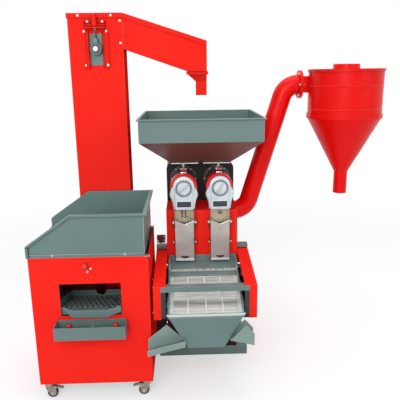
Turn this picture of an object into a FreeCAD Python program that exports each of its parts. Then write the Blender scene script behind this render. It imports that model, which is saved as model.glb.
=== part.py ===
import FreeCAD, Part
import Sketcher
import math
import os

# Combined grain cleaning and milling station, in millimetres.
# X runs to the right, Y away from the operator, Z up. The origin lies on the floor under the
# middle of the whole station. The cleaner with its elevator stands on the left, the mill in the
# middle, and the bran cyclone hangs on its pipe at the right.

Vector = FreeCAD.Vector

# Driving dimensions, each written once
SIZES = {
    # Sheet metal and fits
    "sheet": 2,
    "slide_gap": 0.3,
    "run_gap": 0.05,
    "hand_gap": 1.5,
    # Cleaner cabinet
    "cab_x": -855,
    "cab_y": -356,
    "cab_z": 85,
    "cab_w": 520,
    "cab_d": 440,
    "cab_h": 620,
    "tube": 25,
    "win_x": 125,
    "win_z": 344,
    "win_w": 270,
    "win_h": 153,
    # Casters
    "wheel_r": 25,
    "wheel_w": 20,
    "axle_r": 4,
    "cheek_t": 2,
    "caster_inset": 32,
    "caster_trail": 14,
    "crown_z": 60,
    "crown_t": 3,
    "swivel_r": 20,
    "kingpin_r": 5,
    "kingpin_len": 12,
    "plate_w": 50,
    "plate_t": 4,
    "pedal_x": 26,
    "pedal_z": 54,
    "pedal_hub_r": 4,
    "pedal_pin_r": 2.5,
    "pedal_len": 38,
    "pedal_w": 20,
    "pedal_drop": 9,
    # Feed hopper and its gate
    "bin_low": 58,
    "bin_high": 193,
    "bin_break": 194,
    "bin_back": 12,
    "lip_t": 4,
    "lip_h": 14,
    "feed_x": 250,
    "feed_w": 208,
    "feed_y": 145,
    "feed_d": 90,
    "feed_drop": 28,
    "gate_t": 3,
    "gate_rail": 8,
    "rod_r": 5,
    "knob_r": 11,
    "knob_out": 32,
    # Stone tray under the window
    "stray_x": 105,
    "stray_z": 266,
    "stray_w": 310,
    "stray_h": 60,
    "stray_d": 79,
    "stray_knob_r": 9,
    "stray_knob_z": 298,
    "stray_knob_in": 48,
    # Destoner deck
    "deck_x": 110,
    "deck_w": 300,
    "deck_y": 14,
    "deck_len": 250,
    "deck_z": 374,
    "deck_drop": 62,
    "deck_rise": 36,
    "deck_under": 30,
    "deck_foot_z": 270,
    "deck_foot_w": 36,
    "deck_wall": 3,
    "deck_notch_r": 26,
    "deck_hole": 12,
    "deck_pitch": 25,
    "apron_out": 10,
    "apron_x": 132,
    "apron_w": 260,
    "apron_bottom": 337,
    "outfeed_w": 150,
    "outfeed_h": 20,
    "outfeed_end": 428,
    "outfeed_z": 250,
    "inlet_h": 85,
    "inlet_edge": 10,
    # Elevator
    "el_in": 151,
    "el_w": 257,
    "el_d": 138,
    "el_foot": 60,
    "el_top": 1748,
    "cover_out": 4,
    "cover_h": 20,
    "slot_w": 70,
    "slot_h": 145,
    "slot_z": 1513,
    "head_z": 1588,
    "boot_z": 180,
    "drum_r": 60,
    "drum_w": 96,
    "drum_shaft_r": 12,
    "drum_bore_boss": 28,
    "bearing_t": 4,
    "bearing_w": 96,
    "bearing_h": 180,
    "takeup_rod_r": 4,
    "rail_w": 30,
    "rail_t": 4,
    "rail_over": 12,
    "bracket_z": 1692,
    "bracket_w": 98,
    "bracket_h": 32,
    "bracket_out": 25,
    "gusset_w": 24,
    "belt_t": 3,
    "bucket_out": 42,
    "bucket_h": 50,
    "bucket_w": 90,
    "bucket_n": 9,
    "arm_reach": 396,
    "arm_low_z": 1586,
    "arm_end_top": 1619,
    "arm_end_z": 1480,
    "spout_len": 92,
    "spout_flange": 15,
    "spout_cone": 34,
    "spout_tube": 53,
    "spout_tube_len": 66,
    # Mill stand
    "mill_x": -87,
    "mill_y": -6,
    "base_w": 468,
    "base_d": 420,
    "base_h": 50,
    "beam": 40,
    "beam_t": 4,
    "anchor_r": 6,
    "anchor_in": 20,
    "stand_w": 356,
    "stand_d": 376,
    "stand_top": 809,
    "hood_y": 210,
    "hood_top": 1020,
    "hood_r": 42,
    # Main hopper
    "hop_w": 594,
    "hop_front": -123,
    "hop_d": 564,
    "hop_top": 1270,
    "hop_band": 108,
    "hop_out_z": 1036,
    "hop_out_w": 140,
    "hop_split": 20,
    "hop_out_y": 79,
    "hop_out_d": 160,
    "hop_rim": 8,
    "hop_rim_t": 6,
    "saddle_d": 26,
    "hgate_t": 2.4,
    "hgate_d": 129,
    # Milling heads
    "head_gap": 176,
    "axis_z": 930,
    "barrel_y": 42,
    "barrel_r": 54,
    "barrel_bore": 47,
    "flange_r": 70,
    "flange_t": 12,
    "throat_d": 100,
    "nose_r": 66,
    "nose_len": 60,
    "face_t": 30,
    "face_r": 57,
    "face_up": 3,
    "wing_w": 140,
    "wing_z": -27,
    "foot_w": 112,
    "foot_z": -106,
    "ring_r": 45,
    "ring_t": 5,
    "dial_r": 31,
    "dial_t": 4,
    "dial_pin_r": 5,
    "dial_pin_len": 9,
    "grip_len": 54,
    "grip_w": 10,
    "grip_out": 9,
    "grip_turn": 45,
    "core_r": 34,
    "cam_r": 44,
    "cam_w": 12,
    "shaft_r": 15,
    # Stainless chutes
    "chute_w": 95,
    "chute_front": -44,
    "chute_back": -14,
    "chute_z": 558,
    "chute_open": 776,
    "chute_vee": 10,
    "chute_slot_w": 36,
    "chute_slot_h": 10,
    "chute_slot_z": 20,
    "lug_w": 60,
    "lug_h": 30,
    "lug_z": 700,
    # Drive
    "motor_z": 160,
    "motor_r": 85,
    "motor_y": 60,
    "motor_len": 220,
    "motor_shaft_r": 14,
    "fin_out": 5,
    "fin_t": 4,
    "fin_n": 20,
    "foot_t": 10,
    "pulley_r": 60,
    "pulley_w": 26,
    "drive_y": 386,
    "drive_w": 12,
    "drive_t": 8,
    "fan_pulley_r": 45,
    "guard_d": 62,
    "guard_foot_w": 180,
    "guard_z": 80,
    "guard_top": 1010,
    "shaft_hole": 24,
    # Blower
    "fan_z": 650,
    "fan_y": 289,
    "fan_r": 100,
    "fan_w": 80,
    "volute_r": 128,
    "fan_shaft_r": 12,
    "fan_inlet_r": 52,
    "blade_n": 8,
    "blade_t": 4,
    # Bran pipe
    "pipe_r": 50,
    "pipe_low_x": 252,
    "pipe_rise_x": 460,
    "pipe_top_z": 1407,
    "pipe_end": 1,
    "pipe_bend": 88,
    "pipe_flange_r": 72,
    "pipe_flange_t": 8,
    # Cyclone
    "cyc_x": 667,
    "cyc_y": 203,
    "cyc_r": 187,
    "cyc_top": 1475,
    "cyc_low": 1249,
    "cyc_rim": 5,
    "cyc_flange_t": 11,
    "cone_len": 285,
    "outlet_r": 35,
    "outlet_len": 116,
    "lid_t": 8,
    "vent_r": 67,
    "vent_up": 32,
    "vent_down": 150,
    "duct_h": 84,
    "duct_w": 84,
    "duct_len": 34,
    "duct_in": 50,
    "bead_r": 3,
    "bead_z": 75,
    # Sieve
    "sieve_w": 338,
    "sieve_back": -6,
    "sieve_len": 403,
    "sieve_drop": 127,
    "sieve_z": 576,
    "sieve_h": 46,
    "sieve_edge": 8,
    "sieve_lip": 16,
    "mesh_down": 12,
    "mesh_t": 2,
    "plate_len": 100,
    "bar_at": 114,
    "bar_len": 29,
    "mesh_at": 150,
    "mesh_len": 235,
    "divider_t": 4,
    "mesh_slot": 9,
    "mesh_pitch": 15,
    "funnel_z": 280,
    "funnel_in": 14,
    "funnel_top_w": 324,
    "funnel_out_w": 162,
    "funnel_out_d": 110,
    "funnel_d": 250,
    # Side chutes under the sieve
    "side_d": 58,
    "side_y": -422,
    "side_left": -261,
    "side_left_z": 257,
    "side_right": 213,
    "side_right_z": 300,
    "side_left_root": 20,
    "side_right_root": 46,
    "side_strip": 28,
    "side_wall": 55,
    "side_left_top": 382,
    "side_right_top": 398,
    "side_top_in": 176,
    # Sieve arms, bar and springs
    "arm_w": 56,
    "arm_front": -340,
    "arm_rear": 66,
    "arm_knee_z": 552,
    "arm_rear_z": 600,
    "arm_foot_z": 392,
    "arm_under_z": 500,
    "arm_strip": 34,
    "gusset_rise": 60,
    "cross_d": 33,
    "cross_h": 24,
    "leg_up": 6,
    "cap_d": 40,
    "cap_h": 16,
    "spring_r": 15,
    "spring_len": 48,
    "spring_front": -314,
    "spring_rear": -54,
    "spring_out": 200,
    "ear_down": 30,
    "ear_d": 36,
    "shelf_t": 3,
    # Bolt heads
    "bolt_r": 6.5,
    "bolt_t": 4,
}

# Sizes worked out from the driving ones
DERIVED = {
    "cab_right": "cab_x + cab_w",
    "el_x": "cab_x + el_in",
    "el_y": "cab_y + cab_d",
    "el_mid": "el_w / 2",
    "bin_d": "cab_d - bin_back",
    "caster_left": "cab_x + caster_inset",
    "caster_right": "cab_right - caster_inset",
    "caster_front": "cab_y + caster_inset",
    "caster_rear": "cab_y + cab_d - caster_inset",
    "cheek_in": "wheel_w / 2 + hand_gap",
    "cheek_out": "cheek_in + cheek_t",
    "deck_fall": "deck_drop / deck_len",
    "inlet_z": "outfeed_z - 15",
    "stand_half": "stand_w / 2",
    "base_half": "base_w / 2",
    "head_half": "head_gap / 2",
    "hop_back": "hop_front + hop_d",
    "hop_band_z": "hop_top - hop_band",
    "hgate_z": "hop_out_z - slide_gap - hgate_t",
    "throat_top": "hgate_z - slide_gap",
    "flange_y": "hood_y - flange_t",
    "face_back": "barrel_y - nose_len",
    "face_front": "face_back - face_t",
    "guard_y": "stand_d + guard_d",
    "pulley_y": "drive_y - 4",
    "fan_belt_y": "drive_y + drive_w + 4",
    "belt_r": "pulley_r + slide_gap",
    "sieve_half": "sieve_w / 2",
    "sieve_front": "sieve_back - sieve_len",
    "sieve_fall": "sieve_drop / sieve_len",
    "sieve_front_z": "sieve_z - sieve_drop",
    "funnel_lean": "(funnel_top_w - funnel_out_w) / 2 / (sieve_front_z - sieve_lip - funnel_z)",
    "pipe_z": "fan_z + volute_r - pipe_r",
    "pipe_x": "stand_half",
    "cyc_pipe_y": "mill_y + fan_y - cyc_y",
    "flange_x": "cyc_x - cyc_r - duct_len - mill_x",
}

doc = FreeCAD.newDocument("milling_station")
sheet = doc.addObject("Spreadsheet::Sheet", "dims")
for row, (name, value) in enumerate(SIZES.items(), start=1):
    sheet.set(f"A{row}", str(value))
    sheet.setAlias(f"A{row}", name)
for row, (name, formula) in enumerate(DERIVED.items(), start=1):
    sheet.set(f"B{row}", "=" + formula)
    sheet.setAlias(f"B{row}", name)
doc.recompute()

PIECES = []


def value(name):
    """Current value of a named size, as a plain number."""
    return float(sheet.get(name))


def ref(formula):
    """Formula with each size name pointing at its sheet cell."""
    words = []
    word = ""
    for letter in str(formula) + " ":
        if letter.isalnum() or letter in "_.":
            word += letter
            continue
        words.append("dims." + word if word in SIZES or word in DERIVED else word)
        words.append(letter)
        word = ""
    return "".join(words).strip()


def rect(x0, y0, x1, y1):
    return [(x0, y0), (x1, y0), (x1, y1), (x0, y1)]


def circle(x, y, r):
    return ("circle", x, y, r)


def add_loop(sketch, loop):
    """Closed outline in a sketch, every corner or circle fixed by formulas from the origin."""
    first = sketch.GeometryCount
    if loop[0] == "circle":
        sketch.addGeometry(Part.Circle(Vector(0, 0, 0), Vector(0, 0, 1), 10))
        fixed = [("DistanceX", loop[1], 3), ("DistanceY", loop[2], 3)]
        k = sketch.addConstraint(Sketcher.Constraint("Radius", first, 10.0))
        sketch.setExpression(f"Constraints[{k}]", ref(loop[3]))
        for kind, formula, point in fixed:
            k = sketch.addConstraint(Sketcher.Constraint(kind, -1, 1, first, point, 0.0))
            sketch.setExpression(f"Constraints[{k}]", ref(formula))
        return
    count = len(loop)
    spots = []
    for i in range(count):
        turn = 2 * math.pi * i / count
        spots.append(Vector(100 * math.cos(turn), 100 * math.sin(turn), 0))
    for i in range(count):
        sketch.addGeometry(Part.LineSegment(spots[i], spots[(i + 1) % count]))
    for i in range(count):
        other = first + (i + 1) % count
        sketch.addConstraint(Sketcher.Constraint("Coincident", first + i, 2, other, 1))
    for i, (x, y) in enumerate(loop):
        for kind, formula, spot in (("DistanceX", x, spots[i].x), ("DistanceY", y, spots[i].y)):
            k = sketch.addConstraint(Sketcher.Constraint(kind, -1, 1, first + i, 1, spot))
            sketch.setExpression(f"Constraints[{k}]", ref(formula))


class Piece:
    """One part of the station: a body with its own label and place."""

    def __init__(self, name, x="0", y="0", z="0", shelf=PIECES):
        self.body = doc.addObject("PartDesign::Body", name)
        self.body.Label = name
        for axis, formula in (("x", x), ("y", y), ("z", z)):
            self.body.setExpression("Placement.Base." + axis, ref(formula))
        self.steps = 0
        shelf.append(self.body)

    def plane(self, role):
        for feature in self.body.Origin.OriginFeatures:
            if feature.Role == role:
                return feature

    def new(self, kind, label):
        self.steps += 1
        return self.body.newObject(kind, f"{self.body.Label}_{label}{self.steps}")

    def sketch(self, plane, offset, loops):
        sketch = self.new("Sketcher::SketchObject", "outline")
        sketch.AttachmentSupport = [(self.plane(plane + "_Plane"), "")]
        sketch.MapMode = "FlatFace"
        sign = "-" if plane == "XZ" else ""
        sketch.setExpression("AttachmentOffset.Base.z", f"{sign}({ref(offset)})")
        for loop in loops:
            add_loop(sketch, loop)
        return sketch

    def pad(self, plane, low, high, *loops):
        """Material between two stations along the axis across the plane."""
        pad = self.new("PartDesign::Pad", "pad")
        pad.Profile = self.sketch(plane, low, loops)
        pad.setExpression("Length", f"({ref(high)}) - ({ref(low)})")
        pad.Reversed = plane == "XZ"
        self.body.Tip = pad
        return pad

    def cut(self, plane, low, high, *loops):
        """Opening between two stations along the axis across the plane."""
        pocket = self.new("PartDesign::Pocket", "cut")
        pocket.Profile = self.sketch(plane, low, loops)
        pocket.setExpression("Length", f"({ref(high)}) - ({ref(low)})")
        pocket.Reversed = plane != "XZ"
        self.body.Tip = pocket
        return pocket

    def box(self, x0, y0, z0, x1, y1, z1):
        return self.pad("XY", z0, z1, rect(x0, y0, x1, y1))

    def rod(self, axis, low, high, a, b, r, bore=None):
        """Round bar along X, Y or Z, or a tube when a bore is given."""
        plane = {"X": "YZ", "Y": "XZ", "Z": "XY"}[axis]
        loops = [circle(a, b, r)]
        if bore is not None:
            loops.append(circle(a, b, bore))
        return self.pad(plane, low, high, *loops)

    def spin(self, plane, axis, loop, cut=False):
        """Turned form about the sketch's own horizontal or vertical axis."""
        kind = "PartDesign::Groove" if cut else "PartDesign::Revolution"
        turned = self.new(kind, "turned")
        sketch = self.sketch(plane, "0", [loop])
        turned.Profile = sketch
        turned.ReferenceAxis = (sketch, [axis + "_Axis"])
        turned.Angle = 360
        self.body.Tip = turned
        return turned

    def taper(self, low, low_loop, high, high_loop, cut=False):
        """Flat-sided taper between a rectangle below and one above."""
        wedge = self.new("PartDesign::SubtractiveWedge" if cut else "PartDesign::AdditiveWedge", "taper")
        wedge.AttachmentSupport = [(self.plane("XZ_Plane"), "")]
        wedge.MapMode = "FlatFace"
        wedge.setExpression("Ymin", ref(low))
        wedge.setExpression("Ymax", ref(high))
        # The wedge's own Z axis points towards the operator
        for mark, loop in (("", low_loop), ("2", high_loop)):
            (x0, y0), (x1, y1) = loop[0], loop[2]
            wedge.setExpression(f"X{mark}min", ref(x0))
            wedge.setExpression(f"X{mark}max", ref(x1))
            wedge.setExpression(f"Z{mark}min", ref(f"-({y1})"))
            wedge.setExpression(f"Z{mark}max", ref(f"-({y0})"))
        self.body.Tip = wedge
        return wedge

    def knob(self, x, y, z, r):
        """Turned knob on a rod along Y: a full band between two smaller ones."""
        self.rod("Y", f"{y} - {r}", f"{y} + {r}", x, z, f"{r} * 0.7")
        return self.rod("Y", f"{y} - {r} * 0.6", f"{y} + {r} * 0.6", x, z, r)

    def row(self, feature, role, reach, count):
        """Straight row of one feature along an origin axis."""
        row = self.new("PartDesign::LinearPattern", "row")
        row.Originals = [feature]
        row.Direction = (self.plane(role), [""])
        row.setExpression("Length", ref(reach))
        row.Occurrences = count
        self.body.Tip = row
        return row

    def ring(self, feature, role, count):
        """Full circle of one feature about an origin axis."""
        ring = self.new("PartDesign::PolarPattern", "ring")
        ring.Originals = [feature]
        ring.Axis = (self.plane(role), [""])
        ring.Angle = 360
        ring.Occurrences = count
        self.body.Tip = ring
        return ring

    def round(self, radius, chosen):
        """Fillet on the edges that the test picks."""
        doc.recompute()
        before = self.body.Tip
        edges = []
        for i, edge in enumerate(before.Shape.Edges, start=1):
            if chosen(edge):
                edges.append(f"Edge{i}")
        fillet = self.new("PartDesign::Fillet", "round")
        fillet.Base = (before, edges)
        fillet.setExpression("Radius", ref(radius))
        self.body.Tip = fillet
        return fillet


def group(name, members):
    """One part of several solids that stay separate."""
    compound = doc.addObject("Part::Compound", name)
    compound.Label = name
    compound.Links = members
    PIECES.append(compound)


SIDES = (("left", -1), ("right", 1))


def caster_mounts():
    """Four top plates: swivel heads with a kingpin bore in front, fixed forks behind."""
    piece = Piece("caster_mounts")
    head_z = "crown_z + crown_t + slide_gap"
    for x in ("caster_left", "caster_right"):
        for y in ("caster_front", "caster_rear"):
            piece.box(f"{x} - plate_w / 2", f"{y} - plate_w / 2", "cab_z - plate_t",
                      f"{x} + plate_w / 2", f"{y} + plate_w / 2", "cab_z")
        piece.rod("Z", head_z, "cab_z - plate_t", x, "caster_front", "swivel_r", "kingpin_r + run_gap")
        for side in (-1, 1):
            inner = f"{x} + {side} * cheek_in"
            outer = f"{x} + {side} * cheek_out"
            low, high = (outer, inner) if side < 0 else (inner, outer)
            piece.pad("YZ", low, high, [
                ("caster_rear - 20", "cab_z - plate_t"), ("caster_rear - 8", "wheel_r - 8"),
                ("caster_rear + 8", "wheel_r - 8"), ("caster_rear + 20", "cab_z - plate_t")])
        piece.rod("X", f"{x} - cheek_in", f"{x} + cheek_in", "caster_rear", "wheel_r", "axle_r")


def caster_forks():
    """Swivel forks: crown, two cheeks, axle and kingpin. They trail towards the middle."""
    for name, side in SIDES:
        way = -side
        fork = Piece(f"front_caster_fork_{name}", f"caster_{name}", "caster_front")
        fork.pad("XY", "crown_z", "crown_z + crown_t", circle("0", "0", "swivel_r"))
        low, high = (f"{way} * 34", "0") if way < 0 else ("0", f"{way} * 34")
        fork.box(low, "-cheek_out", "crown_z", high, "cheek_out", "crown_z + crown_t")
        fork.rod("Z", "crown_z + crown_t", "crown_z + crown_t + kingpin_len", "0", "0", "kingpin_r")
        outline = [(f"{-way * 14}", "crown_z + crown_t"), (f"{way * 34}", "crown_z + crown_t"),
                   (f"{way * 34}", "pedal_z - 6"), (f"{way} * (caster_trail + 8)", "wheel_r - 8"),
                   (f"{way} * (caster_trail - 8)", "wheel_r - 8"), (f"{-way * 14}", "crown_z - 12")]
        hole = circle(f"{way} * pedal_x", "pedal_z", "pedal_pin_r + run_gap")
        fork.pad("XZ", "-cheek_out", "-cheek_in", outline, hole)
        fork.pad("XZ", "cheek_in", "cheek_out", outline, hole)
        fork.rod("Y", "-cheek_in", "cheek_in", f"{way} * caster_trail", "wheel_r", "axle_r")


def turned_wheel(name, x, y, plane):
    """Wheel on its axle bore, with a rounded tread and a raised hub."""
    wheel = Piece(name, x, y, "wheel_r")
    half = "wheel_w / 2"
    wheel.spin(plane, "H", [
        (f"-{half}", "axle_r + run_gap"), (f"-{half}", "wheel_r - 4"), (f"-{half} + 4", "wheel_r"),
        (f"{half} - 4", "wheel_r"), (half, "wheel_r - 4"), (half, "axle_r + run_gap")])


def caster_wheels():
    for name, side in SIDES:
        turned_wheel(f"front_caster_wheel_{name}", f"caster_{name} - {side} * caster_trail",
                     "caster_front", "YZ")
        turned_wheel(f"rear_caster_wheel_{name}", f"caster_{name}", "caster_rear", "XZ")


def caster_brakes():
    """Brake pedals: a pad on a hub pin between the cheeks."""
    for name, side in SIDES:
        way = -side
        pedal = Piece(f"front_caster_brake_{name}", f"caster_{name} + {way} * pedal_x",
                      "caster_front", "pedal_z")
        pedal.rod("Y", "-cheek_out", "cheek_out", "0", "0", "pedal_pin_r")
        pedal.rod("Y", "-pedal_w / 2", "pedal_w / 2", "0", "0", "pedal_hub_r")
        pedal.pad("XZ", "-pedal_w / 2", "pedal_w / 2", [
            ("0", "0"), (f"{way} * pedal_len", "-pedal_drop"),
            (f"{way} * pedal_len", "3 - pedal_drop"), ("0", "3")])


def cabinet_body():
    """Red sheet cabinet: four walls, a window in front and the outfeed hole behind."""
    box = Piece("cabinet_body", "cab_x", "cab_y", "cab_z")
    box.pad("XY", "0", "cab_h", rect("0", "0", "cab_w", "cab_d"),
            rect("sheet", "sheet", "cab_w - sheet", "cab_d - sheet"))
    box.cut("XZ", "-1", "sheet + 1", rect("win_x", "win_z", "win_x + win_w", "win_z + win_h"),
            circle("feed_x", "cab_h - feed_drop - slide_gap - gate_t / 2", "rod_r + slide_gap"))
    box.cut("XZ", "cab_d - sheet - 1", "cab_d + 1",
            rect("el_in + el_mid - outfeed_w / 2 - inlet_edge", "inlet_z",
                 "el_in + el_mid + outfeed_w / 2 + inlet_edge", "inlet_z + inlet_h"))


def cabinet_frame():
    """Tube ring at the foot, four posts, and two cross tubes that carry the deck."""
    frame = Piece("cabinet_frame", "cab_x", "cab_y", "cab_z")
    inner = ("sheet", "sheet", "cab_w - sheet", "cab_d - sheet")
    frame.pad("XY", "0", "tube", rect(*inner),
              rect("sheet + tube", "sheet + tube", "cab_w - sheet - tube", "cab_d - sheet - tube"))
    for x in ("sheet", "cab_w - sheet - tube"):
        for y in ("sheet", "cab_d - sheet - tube"):
            frame.box(x, y, "tube", f"{x} + tube", f"{y} + tube", "cab_h")
        for y in ("deck_y + 40", "deck_y + deck_len - 60"):
            frame.box(x, y, "tube", f"{x} + tube", f"{y} + tube", "deck_foot_z - tube")
    for y in ("deck_y + 40", "deck_y + deck_len - 60"):
        frame.box("sheet", y, "deck_foot_z - tube", "cab_w - sheet", f"{y} + tube", "deck_foot_z")


def feed_hopper():
    """Open bin with a low left wall, folded lips, a floor and the spout over the gate."""
    hopper = Piece("feed_hopper", "cab_x", "cab_y", "cab_z + cab_h")
    outer = [("0", "0"), ("cab_w", "0"), ("cab_w", "bin_high"), ("bin_break", "bin_high"),
             ("0", "bin_low")]
    hopper.pad("XZ", "0", "bin_d", outer)
    slope = "(bin_high - bin_low) / bin_break"
    over = "60"
    hopper.cut("XZ", "sheet", "bin_d - sheet", [
        ("sheet", "sheet"), ("cab_w - sheet", "sheet"), ("cab_w - sheet", f"bin_high + {over}"),
        ("sheet", f"bin_high + {over}")])
    hopper.cut("XY", "-1", "sheet + 1",
               rect("feed_x - feed_w / 2 + sheet", "feed_y + sheet",
                    "feed_x + feed_w / 2 - sheet", "feed_y + feed_d - sheet"))
    hopper.pad("XY", "-feed_drop", "0",
               rect("feed_x - feed_w / 2", "feed_y", "feed_x + feed_w / 2", "feed_y + feed_d"),
               rect("feed_x - feed_w / 2 + sheet", "feed_y + sheet",
                    "feed_x + feed_w / 2 - sheet", "feed_y + feed_d - sheet"))
    # Folded lips along the sloping and level top edges, outside the front and back walls
    strip = [("0", "bin_low"), ("bin_break", "bin_high"), ("cab_w", "bin_high"),
             ("cab_w", "bin_high - lip_h"), (f"bin_break + lip_h * {slope} / 2", "bin_high - lip_h"),
             ("0", f"bin_low - lip_h - 2")]
    hopper.pad("XZ", "-lip_t", "0", strip)
    hopper.pad("XZ", "bin_d", "bin_d + lip_t", strip)
    hopper.box("cab_w", "0", "bin_high - lip_t", "cab_w + lip_t", "bin_d", "bin_high")
    hopper.box("-lip_t", "0", "bin_low - lip_t", "0", "bin_d", "bin_low")
    # Side webs with ledges that guide the gate plate under the spout
    edge = "feed_w / 2 + slide_gap + 1"
    low = "-feed_drop - gate_t - 2 * slide_gap - gate_rail / 2"
    for side in (-1, 1):
        a = f"feed_x + {side} * ({edge})"
        b = f"feed_x + {side} * ({edge} + sheet)"
        c = f"feed_x + {side} * ({edge} - gate_rail)"
        x0, x1 = (b, a) if side < 0 else (a, b)
        hopper.box(x0, "feed_y - 90", low, x1, "feed_y + feed_d", "0")
        x0, x1 = (a, c) if side < 0 else (c, a)
        hopper.box(x0, "feed_y - 90", low, x1, "feed_y + feed_d",
                   "-feed_drop - gate_t - 2 * slide_gap")


def feed_gate():
    """Sliding plate under the spout, its pull rod and the red ball in front of the cabinet."""
    gate = Piece("feed_gate", "cab_x + feed_x", "cab_y",
                 "cab_z + cab_h - feed_drop - slide_gap - gate_t")
    gate.box("-feed_w / 2 - 1", "feed_y", "0", "feed_w / 2 + 1", "feed_y + feed_d", "gate_t")
    gate.rod("Y", "-knob_out", "feed_y", "0", "gate_t / 2", "rod_r")
    gate.knob("0", "-knob_out", "gate_t / 2", "knob_r")


def stone_tray():
    """Open box hung on the front panel under the window."""
    tray = Piece("stone_tray", "cab_x + stray_x", "cab_y", "cab_z + stray_z")
    tray.box("0", "-stray_d", "0", "stray_w", "0", "stray_h")
    tray.cut("XY", "sheet", "stray_h + 1",
             rect("sheet", "sheet - stray_d", "stray_w - sheet", "-sheet"))


def tray_knobs():
    """Two red screw knobs that hold the tray on the panel."""
    knobs = Piece("tray_knobs", "cab_x + stray_x", "cab_y", "cab_z + stray_knob_z")
    for x in ("stray_knob_in", "stray_w - stray_knob_in - 4"):
        knobs.rod("Y", "-sheet - 8", "-sheet", x, "0", "stray_knob_r / 2")
        knobs.knob(x, "-sheet - 8 - stray_knob_r / 2", "0", "stray_knob_r")


def deck_frame():
    """Shaking deck: side walls on feet, notched back wall, stone apron and outfeed."""
    deck = Piece("deck_frame", "cab_x", "cab_y", "cab_z")
    end = "deck_y + deck_len"
    low = "deck_z - deck_drop"
    foot = "deck_foot_z + slide_gap"

    def under(y):
        return f"deck_z - deck_under - ({y} - deck_y) * deck_fall"

    front = "deck_y + 36"
    rear = "deck_y + deck_len - 64"
    side = [("deck_y", "deck_z + deck_rise"), ("deck_y", under("deck_y")),
            (front, under(front)), (front, foot), (f"{front} + deck_foot_w", foot),
            (f"{front} + deck_foot_w", under(f"({front} + deck_foot_w)")),
            (rear, under(rear)), (rear, foot), (f"{rear} + deck_foot_w", foot),
            (f"{rear} + deck_foot_w", under(f"({rear} + deck_foot_w)")),
            (end, f"{low} - deck_under"), (end, f"{low} + deck_rise")]
    for x in ("deck_x", "deck_x + deck_w - deck_wall"):
        deck.pad("YZ", x, f"{x} + deck_wall", side)
    # Back wall with the half-round notch that meters the grain
    deck.box("deck_x", f"{end} - deck_wall", f"{low} - deck_under",
             "deck_x + deck_w", end, f"{low} + deck_rise")
    deck.cut("XZ", f"{end} - deck_wall - 1", f"{end} + 1",
             circle("deck_x + deck_w / 2", f"{low} + deck_rise", "deck_notch_r"))
    # Closed pan under the perforated deck
    deck.pad("YZ", "deck_x", "deck_x + deck_w", [
        ("deck_y", "deck_z - deck_under"), (end, f"{low} - deck_under"),
        (end, f"{low} - deck_under + sheet"), ("deck_y", "deck_z - deck_under + sheet")])
    # Apron that carries the stones out through the window and over the tray
    out = "-apron_out - sheet"
    deck.box("apron_x + 18", out, "deck_z - deck_wall - sheet", "apron_x + apron_w - 18",
             "deck_y", "deck_z - deck_wall")
    deck.box("deck_x", "deck_y", "deck_z - deck_under", "deck_x + deck_w",
             "deck_y + sheet", "deck_z - deck_wall")
    deck.pad("XZ", out, "-apron_out", [
        ("apron_x", "deck_z + 19"), ("apron_x + 43", "apron_bottom + 3"),
        ("apron_x + 193", "apron_bottom"), ("apron_x + apron_w", "deck_z - 8"),
        ("apron_x + apron_w", "deck_z + 21"), ("apron_x + 200", "deck_z"),
        ("apron_x + 49", "deck_z")])
    # Outfeed trough from the deck's low end to the elevator
    mid = "(el_in + el_mid)"
    seam = f"{end} - deck_wall"
    floor = [(seam, f"{low} - deck_under - sheet"), ("outfeed_end", "outfeed_z"),
             ("outfeed_end", "outfeed_z + sheet"), (seam, f"{low} - deck_under + sheet")]
    deck.pad("YZ", f"{mid} - outfeed_w / 2", f"{mid} + outfeed_w / 2", floor)
    for x in (f"{mid} - outfeed_w / 2", f"{mid} + outfeed_w / 2 - sheet"):
        deck.pad("YZ", x, f"{x} + sheet", [
            (seam, f"{low} - deck_under"), ("outfeed_end", "outfeed_z"),
            ("outfeed_end", "outfeed_z + outfeed_h"), (seam, f"{low} - deck_under + outfeed_h")])


def deck_screen():
    """Perforated deck plate: rows of diamond holes between the side walls."""
    screen = Piece("deck_screen", "cab_x", "cab_y", "cab_z")
    start = "(deck_y + sheet)"
    end = "(deck_y + deck_len - deck_wall)"
    top = "deck_z - ({} - deck_y) * deck_fall"
    screen.pad("YZ", "deck_x + deck_wall", "deck_x + deck_w - deck_wall", [
        (start, top.format(start)), (start, top.format(start) + " - sheet"),
        (end, top.format(end) + " - sheet"), (end, top.format(end))])
    across = int((value("deck_w") - 2 * value("deck_wall") - 20) / value("deck_pitch"))
    along = int((value("deck_len") - 30) / value("deck_pitch"))
    holes = []
    for i in range(across):
        x = f"deck_x + deck_w / 2 + ({i} - {(across - 1) / 2}) * deck_pitch"
        y = "deck_y + 20"
        half = "deck_hole / 2"
        holes.append([(f"{x} - {half} * 1.5", y), (x, f"{y} - {half}"),
                      (f"{x} + {half} * 1.5", y), (x, f"{y} + {half}")])
    row = screen.cut("XY", "deck_z - deck_drop - 10", "deck_z + 5", *holes)
    screen.row(row, "Y_Axis", f"deck_pitch * {along - 1}", along)


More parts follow.
